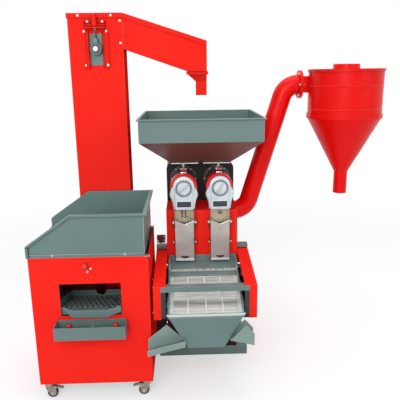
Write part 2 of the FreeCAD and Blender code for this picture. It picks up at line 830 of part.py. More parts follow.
def elevator_column():
    """Column of six flat plates edge to edge: foot, sides, back, boot front and upper front."""
    panels = []

    def panel(side):
        return Piece(f"elevator_column_{side}", "el_x", "el_y", shelf=panels)

    low = "el_foot + sheet"
    panel("foot").box("0", "0", "el_foot", "el_w", "el_d", low)
    panel("left").box("0", "0", low, "sheet", "el_d", "el_top")
    right = panel("right")
    right.box("el_w - sheet", "0", low, "el_w", "el_d", "el_top")
    right.cut("YZ", "el_w - sheet - 1", "el_w + 1",
              rect("sheet", "arm_low_z + 10", "el_d - sheet", "el_top - 20"))
    slot = rect("el_mid - slot_w / 2", "slot_z", "el_mid + slot_w / 2", "slot_z + slot_h")
    bore = circle("el_mid", "boot_z", "drum_shaft_r + run_gap")
    panel("back").pad("XZ", "el_d - sheet", "el_d",
                      rect("sheet", low, "el_w - sheet", "el_top"), slot, bore)
    # The boot front ends at the top of the inlet, and leaves it open between two strips
    sill = "cab_z + inlet_z"
    head = f"{sill} + inlet_h"
    near = "el_mid - outfeed_w / 2 - inlet_edge"
    far = "el_mid + outfeed_w / 2 + inlet_edge"
    panel("boot").pad("XZ", "0", "sheet", [
        ("sheet", low), ("el_w - sheet", low), ("el_w - sheet", head), (far, head), (far, sill),
        (near, sill), (near, head), ("sheet", head)], bore)
    panel("front").pad("XZ", "0", "sheet", rect("sheet", head, "el_w - sheet", "el_top"), slot)
    group("elevator_column", panels)


def elevator_head_chute():
    """Delivery arm: a box that falls to the right, open to the column and to the spout."""
    arm = Piece("elevator_head_chute", "el_x + el_w", "el_y")
    turn = "arm_reach - spout_len"
    arm.pad("XZ", "0", "el_d", [
        ("0", "arm_low_z"), (turn, "arm_end_z"), ("arm_reach", "arm_end_z"),
        ("arm_reach", "arm_end_top"), ("0", "el_top")])
    arm.cut("XZ", "sheet", "el_d - sheet", [
        ("-1", "arm_low_z + sheet * 2"), (turn, "arm_end_z + sheet"),
        ("arm_reach - sheet", "arm_end_z + sheet"), ("arm_reach - sheet", "arm_end_top - sheet"),
        ("0", "el_top - sheet * 2"), ("-1", "el_top - sheet * 2")])
    arm.cut("XY", "arm_end_z - 1", "arm_end_z + sheet + 1",
            rect(f"{turn} + 8", "20", "arm_reach - 4", "el_d - 20"))


def elevator_top_cover():
    """Lid over the head with a folded skirt, and its sloping strip along the arm."""
    lid = Piece("elevator_top_cover", "el_x", "el_y")
    out = "cover_out"
    lid.box(f"-{out}", f"-{out}", "el_top", f"el_w", f"el_d + {out}", "el_top + sheet")
    lid.pad("XY", "el_top - cover_h", "el_top",
            [(f"-{out}", f"-{out}"), ("el_w", f"-{out}"), ("el_w", "0"), ("0", "0"),
             ("0", "el_d"), ("el_w", "el_d"), ("el_w", f"el_d + {out}"), (f"-{out}", f"el_d + {out}")])
    fall = "(el_top - arm_end_top) / arm_reach"
    top = [("el_w", "el_top"), ("el_w + arm_reach", "arm_end_top"),
           ("el_w + arm_reach", "arm_end_top + sheet"), ("el_w", "el_top + sheet")]
    lid.pad("XZ", f"-{out}", f"el_d + {out}", top)
    skirt = [("el_w", "el_top - cover_h"), ("el_w + arm_reach", "arm_end_top - cover_h"),
             ("el_w + arm_reach", "arm_end_top"), ("el_w", "el_top")]
    lid.pad("XZ", f"-{out}", "0", skirt)
    lid.pad("XZ", "el_d", f"el_d + {out}", skirt)


def elevator_spout():
    """Flanged spout: a short taper to a square tube over the main hopper."""
    spout = Piece("elevator_spout", "el_x + el_w + arm_reach", "el_y")
    low = "arm_end_z - spout_flange"
    cone = f"{low} - spout_cone"
    mid = "el_d / 2"
    spout.pad("XY", low, "arm_end_z", rect("-spout_len - 7", "8", "7", "el_d - 8"),
              rect("6 - spout_len", "22", "-4", "el_d - 22"))
    wide = rect("-spout_len", "18", "0", "el_d - 18")
    thin = rect("-spout_tube", f"{mid} - spout_tube / 2", "0", f"{mid} + spout_tube / 2")
    spout.taper(cone, thin, low, wide)
    spout.pad("XY", f"{cone} - spout_tube_len", cone, thin)
    wide_in = rect("6 - spout_len", "22", "-4", "el_d - 22")
    thin_in = rect("sheet - spout_tube", f"{mid} - spout_tube / 2 + sheet",
                   "-sheet", f"{mid} + spout_tube / 2 - sheet")
    spout.taper(cone, thin_in, low, wide_in, cut=True)
    spout.cut("XY", f"{cone} - spout_tube_len - 1", cone, thin_in)


def takeup_rails():
    """Red take-up guides on the column's front, and the bracket that holds the rod."""
    rails = Piece("takeup_rails", "el_x + el_mid", "el_y")
    for side in (-1, 1):
        a = f"{side} * (slot_w / 2 - 4)"
        b = f"{side} * (slot_w / 2 - 4 + rail_w)"
        low, high = (b, a) if side < 0 else (a, b)
        rails.box(low, "-rail_t", "slot_z - rail_over", high, "0", "slot_z + slot_h + rail_over")
    rails.box("-bracket_w / 2", "-rail_t", "bracket_z", "bracket_w / 2", "0", "bracket_z + bracket_h")
    lip = rails.box("-bracket_w / 2", "-bracket_out", "bracket_z", "bracket_w / 2", "0",
                    "bracket_z + rail_t")
    for side in (-1, 1):
        a = f"{side} * (gusset_w / 2 - 3)"
        b = f"{side} * gusset_w / 2"
        low, high = (b, a) if side < 0 else (a, b)
        rails.pad("YZ", low, high, [
            ("-rail_t", "bracket_z"), ("-bracket_out", "bracket_z"),
            ("-bracket_out", "bracket_z + 6"), ("-rail_t", "bracket_z + bracket_h")])
    rails.cut("XY", "bracket_z - 1", "bracket_z + rail_t + 1",
              circle("0", "-bracket_out / 2 - 1", "takeup_rod_r + slide_gap"))


def takeup_blocks():
    """Bearing plates behind the slots, front one with the threaded rod."""
    blocks = Piece("takeup_blocks", "el_x + el_mid", "el_y", "head_z")
    inner = "sheet + slide_gap"
    half = "bearing_w / 2"
    bore = "drum_shaft_r + run_gap"
    tall = rect(f"-{half}", "-bearing_h / 2", half, "bearing_h / 2")
    blocks.pad("XZ", inner, f"{inner} + bearing_t", tall, circle("0", "0", bore))
    blocks.rod("Y", "-bracket_out + 4", inner, "0", "0", "drum_bore_boss", bore)
    rod_y = "-bracket_out / 2 - 1"
    blocks.box("-10", f"{rod_y} - 8", "drum_bore_boss - 4", "10", inner, "drum_bore_boss + 18")
    blocks.rod("Z", "drum_bore_boss + 18", "bracket_z - head_z + 22", "0", rod_y, "takeup_rod_r")
    back = "el_d - sheet - slide_gap"
    blocks.pad("XZ", f"{back} - bearing_t", back, tall, circle("0", "0", bore))
    blocks.rod("Y", back, "el_d + 12", "0", "0", "drum_bore_boss", bore)


def head_pulley():
    """Head drum, crowned, on its shaft."""
    drum = Piece("head_pulley", "el_x + el_mid", "el_y", "head_z")
    a = "el_d / 2 - drum_w / 2"
    b = "el_d / 2 + drum_w / 2"
    drum.spin("YZ", "H", [
        ("-bracket_out - 1", "0"), ("-bracket_out - 1", "drum_shaft_r"), (a, "drum_shaft_r"),
        (a, "drum_r - 2"), (f"{a} + 12", "drum_r"), (f"{b} - 12", "drum_r"), (b, "drum_r - 2"),
        (b, "drum_shaft_r"), ("el_d + 18", "drum_shaft_r"), ("el_d + 18", "0")])


def boot_pulley():
    """Boot drum: a winged pulley on its shaft in the column's walls."""
    drum = Piece("boot_pulley", "el_x + el_mid", "el_y", "boot_z")
    a = "el_d / 2 - drum_w / 2"
    b = "el_d / 2 + drum_w / 2"
    drum.rod("Y", "slide_gap", "el_d + 10", "0", "0", "drum_shaft_r")
    drum.rod("Y", a, b, "0", "0", "drum_r / 2")
    wing = drum.pad("XZ", a, b, rect("-4", "drum_r / 2 - 2", "4", "drum_r"))
    drum.ring(wing, "Y_Axis", 8)


def bucket_belt():
    """Endless belt round both drums, with a row of buckets on each run."""
    belt = Piece("bucket_belt", "el_x + el_mid", "el_y + el_d / 2")
    inner = "drum_r + slide_gap"
    outer = "drum_r + slide_gap + belt_t"
    half = "bucket_w / 2"
    belt.pad("XZ", f"-{half}", half, rect(f"-({outer})", "boot_z", outer, "head_z"),
             rect(f"-({inner})", "boot_z", inner, "head_z"))
    belt.pad("XZ", f"-{half}", half, circle("0", "head_z", outer), circle("0", "head_z", inner))
    belt.pad("XZ", f"-{half}", half, circle("0", "boot_z", outer), circle("0", "boot_z", inner))
    for a, b in (("head_z - drum_r * 1.1", "head_z"), ("boot_z", "boot_z + drum_r * 1.1")):
        belt.cut("XZ", f"-{half} - 1", f"{half} + 1", rect(f"-({inner})", a, inner, b))
    count = int(value("bucket_n"))
    pitch = "(head_z - boot_z - 60) / bucket_n"
    up = belt.pad("XZ", f"-{half}", half, [
        (f"-({outer})", "boot_z + 40"), (f"-({outer}) - bucket_out * 0.5", "boot_z + 44"),
        (f"-({outer}) - bucket_out", "boot_z + 40 + bucket_h"), (f"-({outer})", "boot_z + 40 + bucket_h")])
    belt.row(up, "Z_Axis", f"{pitch} * {count - 1}", count)
    down = belt.pad("XZ", f"-{half}", half, [
        (outer, "boot_z + 40 + bucket_h"), (f"{outer} + bucket_out * 0.5", "boot_z + 36 + bucket_h"),
        (f"{outer} + bucket_out", "boot_z + 40"), (outer, "boot_z + 40")])
    belt.row(down, "Z_Axis", f"{pitch} * {count - 1}", count)


def mill_base_frame():
    """Grey channel ring on the floor with two bearers under the stand, and anchor holes."""
    base = Piece("mill_base_frame", "mill_x", "mill_y")
    ring = rect("-base_half", "0", "base_half", "base_d")
    web = rect("beam_t - base_half", "beam_t", "base_half - beam_t", "base_d - beam_t")
    lip = rect("beam - base_half", "beam", "base_half - beam", "base_d - beam")
    base.pad("XY", "0", "base_h", ring, web)
    base.pad("XY", "0", "beam_t", ring, lip)
    base.pad("XY", "base_h - beam_t", "base_h", ring, lip)
    for side in (-1, 1):
        a = f"{side} * (stand_half - beam)"
        b = f"{side} * stand_half"
        low, high = (b, a) if side < 0 else (a, b)
        base.box(low, "beam_t", "0", high, "base_d - beam_t", "base_h")
    base.box("-stand_half", "motor_y + 10", "base_h - 12", "stand_half", "motor_y + 50", "base_h")
    base.box("-stand_half", "motor_y + motor_len - 60", "base_h - 12", "stand_half",
             "motor_y + motor_len - 20", "base_h")
    holes = []
    for x in ("anchor_in - base_half", "base_half - anchor_in"):
        for y in ("anchor_in", "base_d - anchor_in"):
            holes.append(circle(x, y, "anchor_r"))
    base.cut("XY", "-1", "base_h + 1", *holes)


def mill_housing():
    """Red stand: four sheet walls and a top, with holes for the pipe, shafts and motor."""
    stand = Piece("mill_housing", "mill_x", "mill_y")
    stand.pad("XY", "base_h", "stand_top - sheet", rect("-stand_half", "0", "stand_half", "stand_d"),
              rect("sheet - stand_half", "sheet", "stand_half - sheet", "stand_d - sheet"))
    stand.box("-stand_half", "0", "stand_top - sheet", "stand_half", "stand_d", "stand_top")
    stand.cut("YZ", "stand_half - sheet - 1", "stand_half + 1",
              circle("fan_y", "pipe_z", "pipe_r"))
    stand.cut("XZ", "stand_d - sheet - 1", "stand_d + 1",
              circle("0", "motor_z", "shaft_hole"), circle("0", "fan_z", "shaft_hole"))
    # Louvres that cool the motor, low on the left wall
    slots = []
    for i in range(6):
        slots.append(rect("motor_y + 20", f"motor_z - 50 + {i} * 20",
                          "motor_y + motor_len - 40", f"motor_z - 42 + {i} * 20"))
    stand.cut("YZ", "-stand_half - 1", "sheet + 1 - stand_half", *slots)


def mill_hood():
    """Black hood behind the heads: rounded roof, front plate and bearing bores."""
    hood = Piece("mill_hood", "mill_x", "mill_y")
    outer = rect("-stand_half", "stand_top", "stand_half", "hood_top")
    inner = rect("sheet - stand_half", "stand_top", "stand_half - sheet", "hood_top - sheet")
    hood.pad("XZ", "hood_y", "stand_d", outer)
    hood.round("hood_r", lambda edge: edge.BoundBox.ZLength < 0.1 and edge.BoundBox.XLength < 0.1
               and abs(edge.BoundBox.ZMax - value("hood_top")) < 0.1)
    hood.cut("XZ", "hood_y + 4", "stand_d - 4", [
        ("sheet - stand_half", "stand_top - 1"), ("stand_half - sheet", "stand_top - 1"),
        ("stand_half - sheet", "hood_top - hood_r"), ("stand_half - hood_r", "hood_top - sheet"),
        ("hood_r - stand_half", "hood_top - sheet"), ("sheet - stand_half", "hood_top - hood_r")])
    for side in (-1, 1):
        hood.rod("Y", "stand_d - 34", "stand_d - 4", f"{side} * head_half", "axis_z", "shaft_r + 15")
        hood.cut("XZ", "hood_y - 1", "stand_d + 1",
                 circle(f"{side} * head_half", "axis_z", "shaft_r + run_gap"))


def main_hopper():
    """Grey hopper: deep band, four tapering walls in two outlets, rolled rim and rear saddle."""
    hopper = Piece("main_hopper", "mill_x", "mill_y")
    half = "hop_w / 2"
    rim = "hop_rim"
    outer = rect(f"-{half} + {rim}", "hop_front + hop_rim", f"{half} - {rim}", "hop_back - hop_rim")
    inner = rect(f"-{half} + {rim} + sheet", "hop_front + hop_rim + sheet",
                 f"{half} - {rim} - sheet", "hop_back - hop_rim - sheet")
    wide = "hop_split / 2 + hop_out_w"
    y0 = "hop_out_y"
    y1 = "hop_out_y + hop_out_d"
    hopper.pad("XY", "hop_band_z", "hop_top", outer)
    hopper.taper("hop_out_z", rect(f"-({wide})", y0, wide, y1), "hop_band_z", outer)
    hopper.cut("XY", "hop_band_z", "hop_top + 1", inner)
    low_in = rect(f"sheet - ({wide})", f"{y0} + sheet", f"{wide} - sheet", f"{y1} - sheet")
    hopper.taper("hop_out_z", low_in, "hop_band_z", inner, cut=True)
    # Ridge that splits the grain between the two outlets
    hopper.pad("XZ", f"{y0} + sheet / 2", f"{y1} - sheet / 2", [
        ("-hop_split / 2", "hop_out_z"), ("hop_split / 2", "hop_out_z"), ("0", "hop_out_z + 60")])
    hopper.pad("XY", "hop_top - hop_rim_t", "hop_top",
               rect(f"-{half}", "hop_front", half, "hop_back"), inner)
    hopper.box(f"-({wide})", "hood_y + slide_gap", "hood_top", wide,
               f"hood_y + saddle_d", "hop_out_z")


def hopper_gates():
    """Slide plates that meter each outlet, with a front tab, rod and red knob."""
    for name, side in SIDES:
        gate = Piece(f"hopper_gate_{name}", f"mill_x + {side} * (hop_split + hop_out_w) / 2",
                     "mill_y", "hgate_z")
        knob_x = f"{side} * (head_half - (hop_split + hop_out_w) / 2)"
        front = "hop_out_y - 8"
        gate.box("1 - hop_out_w / 2", front, "0", "hop_out_w / 2 - 1", f"{front} + hgate_d", "hgate_t")
        gate.box(f"{knob_x} - 14", f"{front} - 3", "-22", f"{knob_x} + 14", front, "hgate_t")
        gate.rod("Y", f"{front} - 14", f"{front} - 3", knob_x, "-14", "4")
        gate.knob(knob_x, f"{front} - 18", "-14", "7")


def mill_barrels():
    """Two cast barrels with a bolted flange, a feed throat and the bearing wall."""
    barrels = Piece("mill_barrels", "mill_x", "mill_y")
    for side in (-1, 1):
        x = f"{side} * head_half"
        barrels.rod("Y", "barrel_y", "flange_y", x, "axis_z", "barrel_r")
        barrels.rod("Y", "flange_y", "hood_y", x, "axis_z", "flange_r")
        low, high = (f"{x} - barrel_r + 4", f"{x} + barrel_r - 4")
        barrels.box(low, "flange_y - throat_d", "axis_z", high, "flange_y - 2", "throat_top - 3")
        mid = f"{side} * (hop_split + hop_out_w) / 2"
        barrels.box(f"{mid} - hop_out_w / 2 + 1", "flange_y - throat_d - 8", "throat_top - 3",
                    f"{mid} + hop_out_w / 2 - 1", "flange_y", "throat_top")
        barrels.cut("XZ", "barrel_y - 1", "flange_y - 2", circle(x, "axis_z", "barrel_bore"))
        barrels.cut("XZ", "flange_y - 3", "hood_y + 1", circle(x, "axis_z", "shaft_r + run_gap"))
        barrels.cut("XY", "axis_z", "throat_top + 1",
                    rect(f"{x} - 34", "flange_y - throat_d + 8", f"{x} + 34", "flange_y - 10"))


def mill_noses():
    """Red outlet rings between the barrels and the dial covers."""
    noses = Piece("mill_noses", "mill_x", "mill_y")
    for side in (-1, 1):
        x = f"{side} * head_half"
        noses.rod("Y", "face_back", "barrel_y", x, "axis_z", "nose_r", "barrel_bore + 1")


def dial_covers():
    """Silver cast covers: round head, side wings, straight foot and a raised dial ring."""
    for name, side in SIDES:
        cover = Piece(f"dial_cover_{name}", f"mill_x + {side} * head_half", "mill_y", "axis_z")
        wing = "wing_w / 2"
        foot = "foot_w / 2"
        cover.pad("XZ", "face_front", "face_back", [
            (f"-{foot}", "foot_z"), (foot, "foot_z"), (f"{foot} + 2", "wing_z - 28"),
            (wing, "wing_z - 8"), (wing, "wing_z + 6"), ("face_r", "face_up + 6"), ("30", "face_up + 49"),
            ("-30", "face_up + 49"), ("-face_r", "face_up + 6"), (f"-{wing}", "wing_z + 6"),
            (f"-{wing}", "wing_z - 8"), (f"-{foot} - 2", "wing_z - 28")])
        cover.rod("Y", "face_front", "face_back", "0", "face_up", "face_r")
        cover.rod("Y", "face_front - ring_t", "face_front", "0", "face_up", "ring_r")
        cover.cut("XZ", "face_front - ring_t - 1", "face_front - ring_t + dial_pin_len + 1",
                  circle("0", "face_up", "dial_pin_r + run_gap"))
        # Outlet passage from the barrel down into the chute
        cover.cut("XZ", "face_front + 6", "face_back + 1", [
            ("-30", "foot_z - 1"), ("30", "foot_z - 1"), ("30", "10"), ("-30", "10")])


def dials():
    """Pressure dials: a disc with a diagonal grip bar, turning on a pin in the cover."""
    for name, side in SIDES:
        dial = Piece(f"dial_{name}", f"mill_x + {side} * head_half", "mill_y + face_front - ring_t",
                     "axis_z + face_up")
        back = "-slide_gap"
        front = "-slide_gap - dial_t"
        dial.rod("Y", front, back, "0", "0", "dial_r")
        dial.rod("Y", back, "dial_pin_len", "0", "0", "dial_pin_r")
        c = "cos(grip_turn * 1 deg)"
        s = "sin(grip_turn * 1 deg)"
        corners = []
        for along, across in ((-1, -1), (1, -1), (1, 1), (-1, 1)):
            x = f"{along} * grip_len / 2 * {c} - {across} * grip_w / 2 * {s}"
            z = f"{along} * grip_len / 2 * {s} + {across} * grip_w / 2 * {c}"
            corners.append((x, z))
        dial.pad("XZ", "-slide_gap - grip_out", front, corners)


def mill_rotors():
    """Milling rotors: ribbed core in the barrel, long shaft, drive pulley at the back."""
    for name, side in SIDES:
        rotor = Piece(f"mill_rotor_{name}", f"mill_x + {side} * head_half", "mill_y", "axis_z")
        rotor.rod("Y", "barrel_y + 4", "flange_y - 8", "0", "0", "core_r")
        cam = rotor.pad("XZ", "barrel_y + 10", "flange_y - 14",
                        rect("-cam_w / 2", "core_r - 4", "cam_w / 2", "cam_r"))
        rotor.ring(cam, "Y_Axis", 4)
        rotor.rod("Y", "flange_y - 8", "drive_y + 30", "0", "0", "shaft_r")
        rotor.rod("Y", "pulley_y", "pulley_y + pulley_w", "0", "0", "pulley_r")


def discharge_chutes():
    """Two stainless channels from the covers down to the sieve, with a vee front edge."""
    chutes = Piece("discharge_chutes", "mill_x", "mill_y")
    top = "axis_z + foot_z"
    half = "chute_w / 2"
    for side in (-1, 1):
        x = f"{side} * head_half"
        chutes.pad("XY", "chute_z", top,
                   rect(f"{x} - {half}", "chute_front", f"{x} + {half}", "chute_back"),
                   rect(f"{x} - {half} + sheet", "chute_front + sheet",
                        f"{x} + {half} - sheet", "chute_back - sheet"))
        chutes.cut("XZ", "chute_front - 1", "chute_front + sheet + 0.1", [
            (f"{x} - {half} + sheet", "chute_open"), (x, "chute_open - chute_vee"),
            (f"{x} + {half} - sheet", "chute_open"), (f"{x} + {half} - sheet", f"{top} + 1"),
            (f"{x} - {half} + sheet", f"{top} + 1")],
            rect(f"{x} - chute_slot_w / 2", "chute_z + chute_slot_z",
                 f"{x} + chute_slot_w / 2", "chute_z + chute_slot_z + chute_slot_h"))
        # Standoff bracket to the stand
        chutes.box(f"{x} - lug_w / 2", "chute_back", "lug_z", f"{x} + lug_w / 2", "0", "lug_z + lug_h")


def motor():
    """Foot-mounted motor inside the stand: finned barrel, end bells and feet."""
    body = Piece("motor", "mill_x", "mill_y", "motor_z")
    end = "motor_y + motor_len"
    body.rod("Y", "motor_y", end, "0", "0", "motor_r")
    body.rod("Y", end, f"{end} + 14", "0", "0", "motor_r / 2", "motor_shaft_r + run_gap")
    body.cut("XZ", f"{end} - 20", f"{end} + 1", circle("0", "0", "motor_shaft_r + run_gap"))
    fin = body.pad("XZ", "motor_y + 30", f"{end} - 30",
                   rect("-fin_t / 2", "motor_r - 2", "fin_t / 2", "motor_r + fin_out"))
    body.ring(fin, "Y_Axis", int(value("fin_n")))
    for y in ("motor_y + 14", f"{end} - 56"):
        body.box("-motor_r + 5", y, "base_h - motor_z", "motor_r - 5", f"{y} + 32",
                 "base_h - motor_z + foot_t")
        body.box("-motor_r * 0.7", y, "base_h - motor_z", "motor_r * 0.7", f"{y} + 32", "-motor_r * 0.5")


def motor_pulley():
    """Motor shaft end with its two-groove pulley."""
    pulley = Piece("motor_pulley", "mill_x", "mill_y", "motor_z")
    end = "motor_y + motor_len"
    pulley.rod("Y", f"{end} - 19", "drive_y + 40", "0", "0", "motor_shaft_r")
    pulley.rod("Y", "pulley_y", "fan_belt_y + drive_w + 4", "0", "0", "pulley_r")


def belt_loop(circles, thick, y0, width):
    """Belt round several pulleys: hull of the inner circles, thickened outwards."""
    def hull(extra):
        edges = []
        count = len(circles)
        for i in range(count):
            x0, z0, r0 = circles[i]
            x1, z1, r1 = circles[(i + 1) % count]
            r0, r1 = r0 + extra, r1 + extra
            gap = math.hypot(x1 - x0, z1 - z0)
            turn = math.atan2(z1 - z0, x1 - x0) - math.pi / 2 + math.asin((r1 - r0) / gap)
            edges.append((x0 + r0 * math.cos(turn), z0 + r0 * math.sin(turn),
                          x1 + r1 * math.cos(turn), z1 + r1 * math.sin(turn), turn))
        shapes = []
        for i in range(count):
            here, after = edges[i], edges[(i + 1) % count]
            shapes.append(Part.LineSegment(Vector(here[0], y0, here[1]),
                                           Vector(here[2], y0, here[3])).toShape())
            x, z, r = circles[(i + 1) % count]
            sweep = (after[4] - here[4]) % (2 * math.pi)
            middle = here[4] + sweep / 2
            r += extra
            shapes.append(Part.Arc(Vector(here[2], y0, here[3]),
                                   Vector(x + r * math.cos(middle), y0, z + r * math.sin(middle)),
                                   Vector(after[0], y0, after[1])).toShape())
        return Part.Face(Part.Wire(shapes))
    ring = hull(thick).cut(hull(0))
    return ring.extrude(Vector(0, width, 0))


def drive_belts():
    """Main belt over both rotor pulleys and the belt up to the blower."""
    gap = value("slide_gap")
    r = value("pulley_r") + gap
    low = (0, value("motor_z"), r)
    right = (value("head_half"), value("axis_z"), r)
    left = (-value("head_half"), value("axis_z"), r)
    fan = (0, value("fan_z"), value("fan_pulley_r") + gap)
    belts = doc.addObject("Part::Feature", "drive_belts")
    belts.Label = "drive_belts"
    belts.Shape = Part.makeCompound([
        belt_loop([low, right, left], value("drive_t"), value("drive_y"), value("drive_w")),
        belt_loop([low, fan], value("drive_t"), value("fan_belt_y"), value("drive_w"))])
    belts.Placement = FreeCAD.Placement(Vector(value("mill_x"), value("mill_y"), 0),
                                        FreeCAD.Rotation())
    PIECES.append(belts)


def belt_guard():
    """Red guard over the belts: a tapered box on the stand's back, open inside."""
    guard = Piece("belt_guard", "mill_x", "mill_y")
    foot = "guard_foot_w / 2"
    top = "stand_half"
    outer = [(f"-{foot}", "guard_z"), (foot, "guard_z"), (top, "stand_top"), (top, "guard_top"),
             (f"-{top}", "guard_top"), (f"-{top}", "stand_top")]
    inner = [(f"sheet - {foot}", "guard_z + sheet"), (f"{foot} - sheet", "guard_z + sheet"),
             (f"{top} - sheet", "stand_top"), (f"{top} - sheet", "guard_top - sheet"),
             (f"sheet - {top}", "guard_top - sheet"), (f"sheet - {top}", "stand_top")]
    guard.pad("XZ", "stand_d", "guard_y", outer, inner)
    guard.pad("XZ", "guard_y - sheet", "guard_y", outer)


def blower_housing():
    """Blower volute inside the stand, its inlet, bearing boss and outlet to the pipe."""
    volute = Piece("blower_housing", "mill_x", "mill_y + fan_y", "fan_z")
    half = "fan_w / 2"
    volute.rod("Y", f"-{half}", half, "0", "0", "volute_r")
    volute.box("0", f"-{half}", "volute_r - 2 * pipe_r", "stand_half - sheet", half, "volute_r")
    volute.cut("XZ", f"3 - {half}", f"{half} - 3", circle("0", "0", "volute_r - 3"),)
    volute.cut("XZ", f"3 - {half}", f"{half} - 3",
               rect("40", "volute_r - 2 * pipe_r + 3", "stand_half", "volute_r - 3"))
    volute.cut("XZ", f"-{half} - 1", f"4 - {half}", circle("0", "0", "fan_inlet_r"))
    volute.cut("XZ", f"{half} - 4", f"{half} + 1", circle("0", "0", "fan_shaft_r + run_gap"))
    volute.rod("Y", half, "stand_d - sheet - fan_y", "0", "0", "fan_shaft_r + 10",
               "fan_shaft_r + run_gap")


def blower_impeller():
    """Radial impeller on its shaft with the small pulley behind the stand."""
    wheel = Piece("blower_impeller", "mill_x", "mill_y + fan_y", "fan_z")
    half = "fan_w / 2"
    wheel.rod("Y", f"8 - {half}", "fan_belt_y + drive_w + 6 - fan_y", "0", "0", "fan_shaft_r")
    wheel.rod("Y", f"{half} - 12", f"{half} - 9", "0", "0", "fan_r")
    blade = wheel.pad("XZ", f"10 - {half}", f"{half} - 11",
                      rect("-blade_t / 2", "fan_shaft_r - 2", "blade_t / 2", "fan_r"))
    wheel.ring(blade, "Y_Axis", int(value("blade_n")))
    wheel.rod("Y", "fan_belt_y - 4 - fan_y", "fan_belt_y + drive_w + 4 - fan_y",
              "0", "0", "fan_pulley_r")


def conveying_pipe():
    """Bran pipe: out of the stand, up the slope, into the cyclone, with two welded bends."""
    pipe = Piece("conveying_pipe", "mill_x", "mill_y + fan_y", "0")
    path = pipe.new("Sketcher::SketchObject", "route")
    path.AttachmentSupport = [(pipe.plane("XZ_Plane"), "")]
    path.MapMode = "FlatFace"
    corners = [("pipe_x", "pipe_z"), ("pipe_low_x", "pipe_z"), ("pipe_rise_x", "pipe_top_z"),
               ("flange_x", "pipe_top_z")]
    spots = [Vector(value(x), value(z), 0) for x, z in corners]
    for i in range(3):
        path.addGeometry(Part.LineSegment(spots[i], spots[i + 1]))
    for i in (0, 1):
        path.addConstraint(Sketcher.Constraint("Coincident", i, 2, i + 1, 1))
    for i, spot in enumerate(spots):
        line, end = (i, 1) if i < 3 else (2, 2)
        path.addConstraint(Sketcher.Constraint("DistanceX", -1, 1, line, end, spot.x))
        path.addConstraint(Sketcher.Constraint("DistanceY", -1, 1, line, end, spot.y))
    # Both welded bends, with the corners kept as points that the sizes drive
    bend = value("pipe_bend")
    for i in (0, 1):
        before = spots[i + 1] + (spots[i] - spots[i + 1]) * 0.2
        after = spots[i + 1] + (spots[i + 2] - spots[i + 1]) * 0.2
        path.fillet(i, i + 1, before, after, bend, True, True)
    for i, (x, z) in enumerate(corners):
        path.setExpression(f"Constraints[{2 * i}]", ref(x))
        path.setExpression(f"Constraints[{2 * i + 1}]", ref(z))
    for arc in (3, 5):
        k = path.addConstraint(Sketcher.Constraint("Radius", arc, bend))
        path.setExpression(f"Constraints[{k}]", ref("pipe_bend"))
    for kind, radius in (("Additive", "pipe_r"), ("Subtractive", "pipe_r - sheet")):
        section = pipe.sketch("YZ", "pipe_x", [circle("0", "pipe_z", radius)])
        sweep = pipe.new(f"PartDesign::{kind}Pipe", "tube")
        sweep.Profile = section
        sweep.Spine = path
        pipe.body.Tip = sweep
    pipe.rod("X", "flange_x - pipe_flange_t", "flange_x", "0", "pipe_top_z", "pipe_flange_r",
             "pipe_r - sheet")
    pipe.rod("X", "pipe_x", "pipe_x + 4", "0", "pipe_z", "pipe_r + 12", "pipe_r - sheet")


def cyclone_barrel():
    """Cyclone body: rolled barrel with beads, end flanges and the off-centre inlet duct."""
    barrel = Piece("cyclone_barrel", "cyc_x", "cyc_y")
    flange = "cyc_r + cyc_rim"
    r = "cyc_r"
    bead = "cyc_r + bead_r"
    barrel.spin("XZ", "V", [
        (f"{r} - sheet", "cyc_low"), (flange, "cyc_low"), (flange, "cyc_low + cyc_flange_t"),
        (r, "cyc_low + cyc_flange_t"), (r, "cyc_low + 32"), (bead, "cyc_low + 35"), (r, "cyc_low + 38"),
        (r, "cyc_top - bead_z - 3"), (bead, "cyc_top - bead_z"), (r, "cyc_top - bead_z + 3"),
        (r, "cyc_top - 6"), (flange, "cyc_top - 6"), (flange, "cyc_top"), (f"{r} - sheet", "cyc_top")])
    y = "cyc_pipe_y"
    edge = "-cyc_r - duct_len"
    duct = rect(f"{y} - duct_w / 2", "pipe_top_z - duct_h / 2", f"{y} + duct_w / 2",
                "pipe_top_z + duct_h / 2")
    bore = rect(f"{y} - duct_w / 2 + sheet", "pipe_top_z - duct_h / 2 + sheet",
                f"{y} + duct_w / 2 - sheet", "pipe_top_z + duct_h / 2 - sheet")
    barrel.pad("YZ", edge, "-cyc_r + duct_in", duct)
    barrel.rod("X", edge, f"{edge} + pipe_flange_t", y, "pipe_top_z", "pipe_flange_r")
    barrel.cut("YZ", f"{edge} - 1", "-cyc_r + duct_in", bore)
    barrel.cut("XY", "pipe_top_z - duct_h / 2 - 1", "pipe_top_z + duct_h / 2 + 1",
               circle("0", "0", "cyc_r - sheet"))


def cyclone_lid():
    """Lid with the vent pipe that dips into the barrel."""
    lid = Piece("cyclone_lid", "cyc_x", "cyc_y", "cyc_top")
    lid.rod("Z", "0", "lid_t", "0", "0", "cyc_r + cyc_rim", "vent_r - sheet")
    lid.rod("Z", "-vent_down", "vent_up", "0", "0", "vent_r", "vent_r - sheet")


def cyclone_cone():
    """Cone under the barrel with its top flange and the bran outlet."""
    cone = Piece("cyclone_cone", "cyc_x", "cyc_y", "cyc_low")
    low = "-cyc_flange_t - cone_len"
    cone.spin("XZ", "V", [
        ("cyc_r - sheet", "0"), ("cyc_r - sheet", "-cyc_flange_t"), ("outlet_r - sheet", low),
        ("outlet_r - sheet", f"{low} - outlet_len"), ("outlet_r", f"{low} - outlet_len"),
        ("outlet_r", low), ("cyc_r", "-cyc_flange_t"), ("cyc_r + cyc_rim", "-cyc_flange_t"),
        ("cyc_r + cyc_rim", "0")])


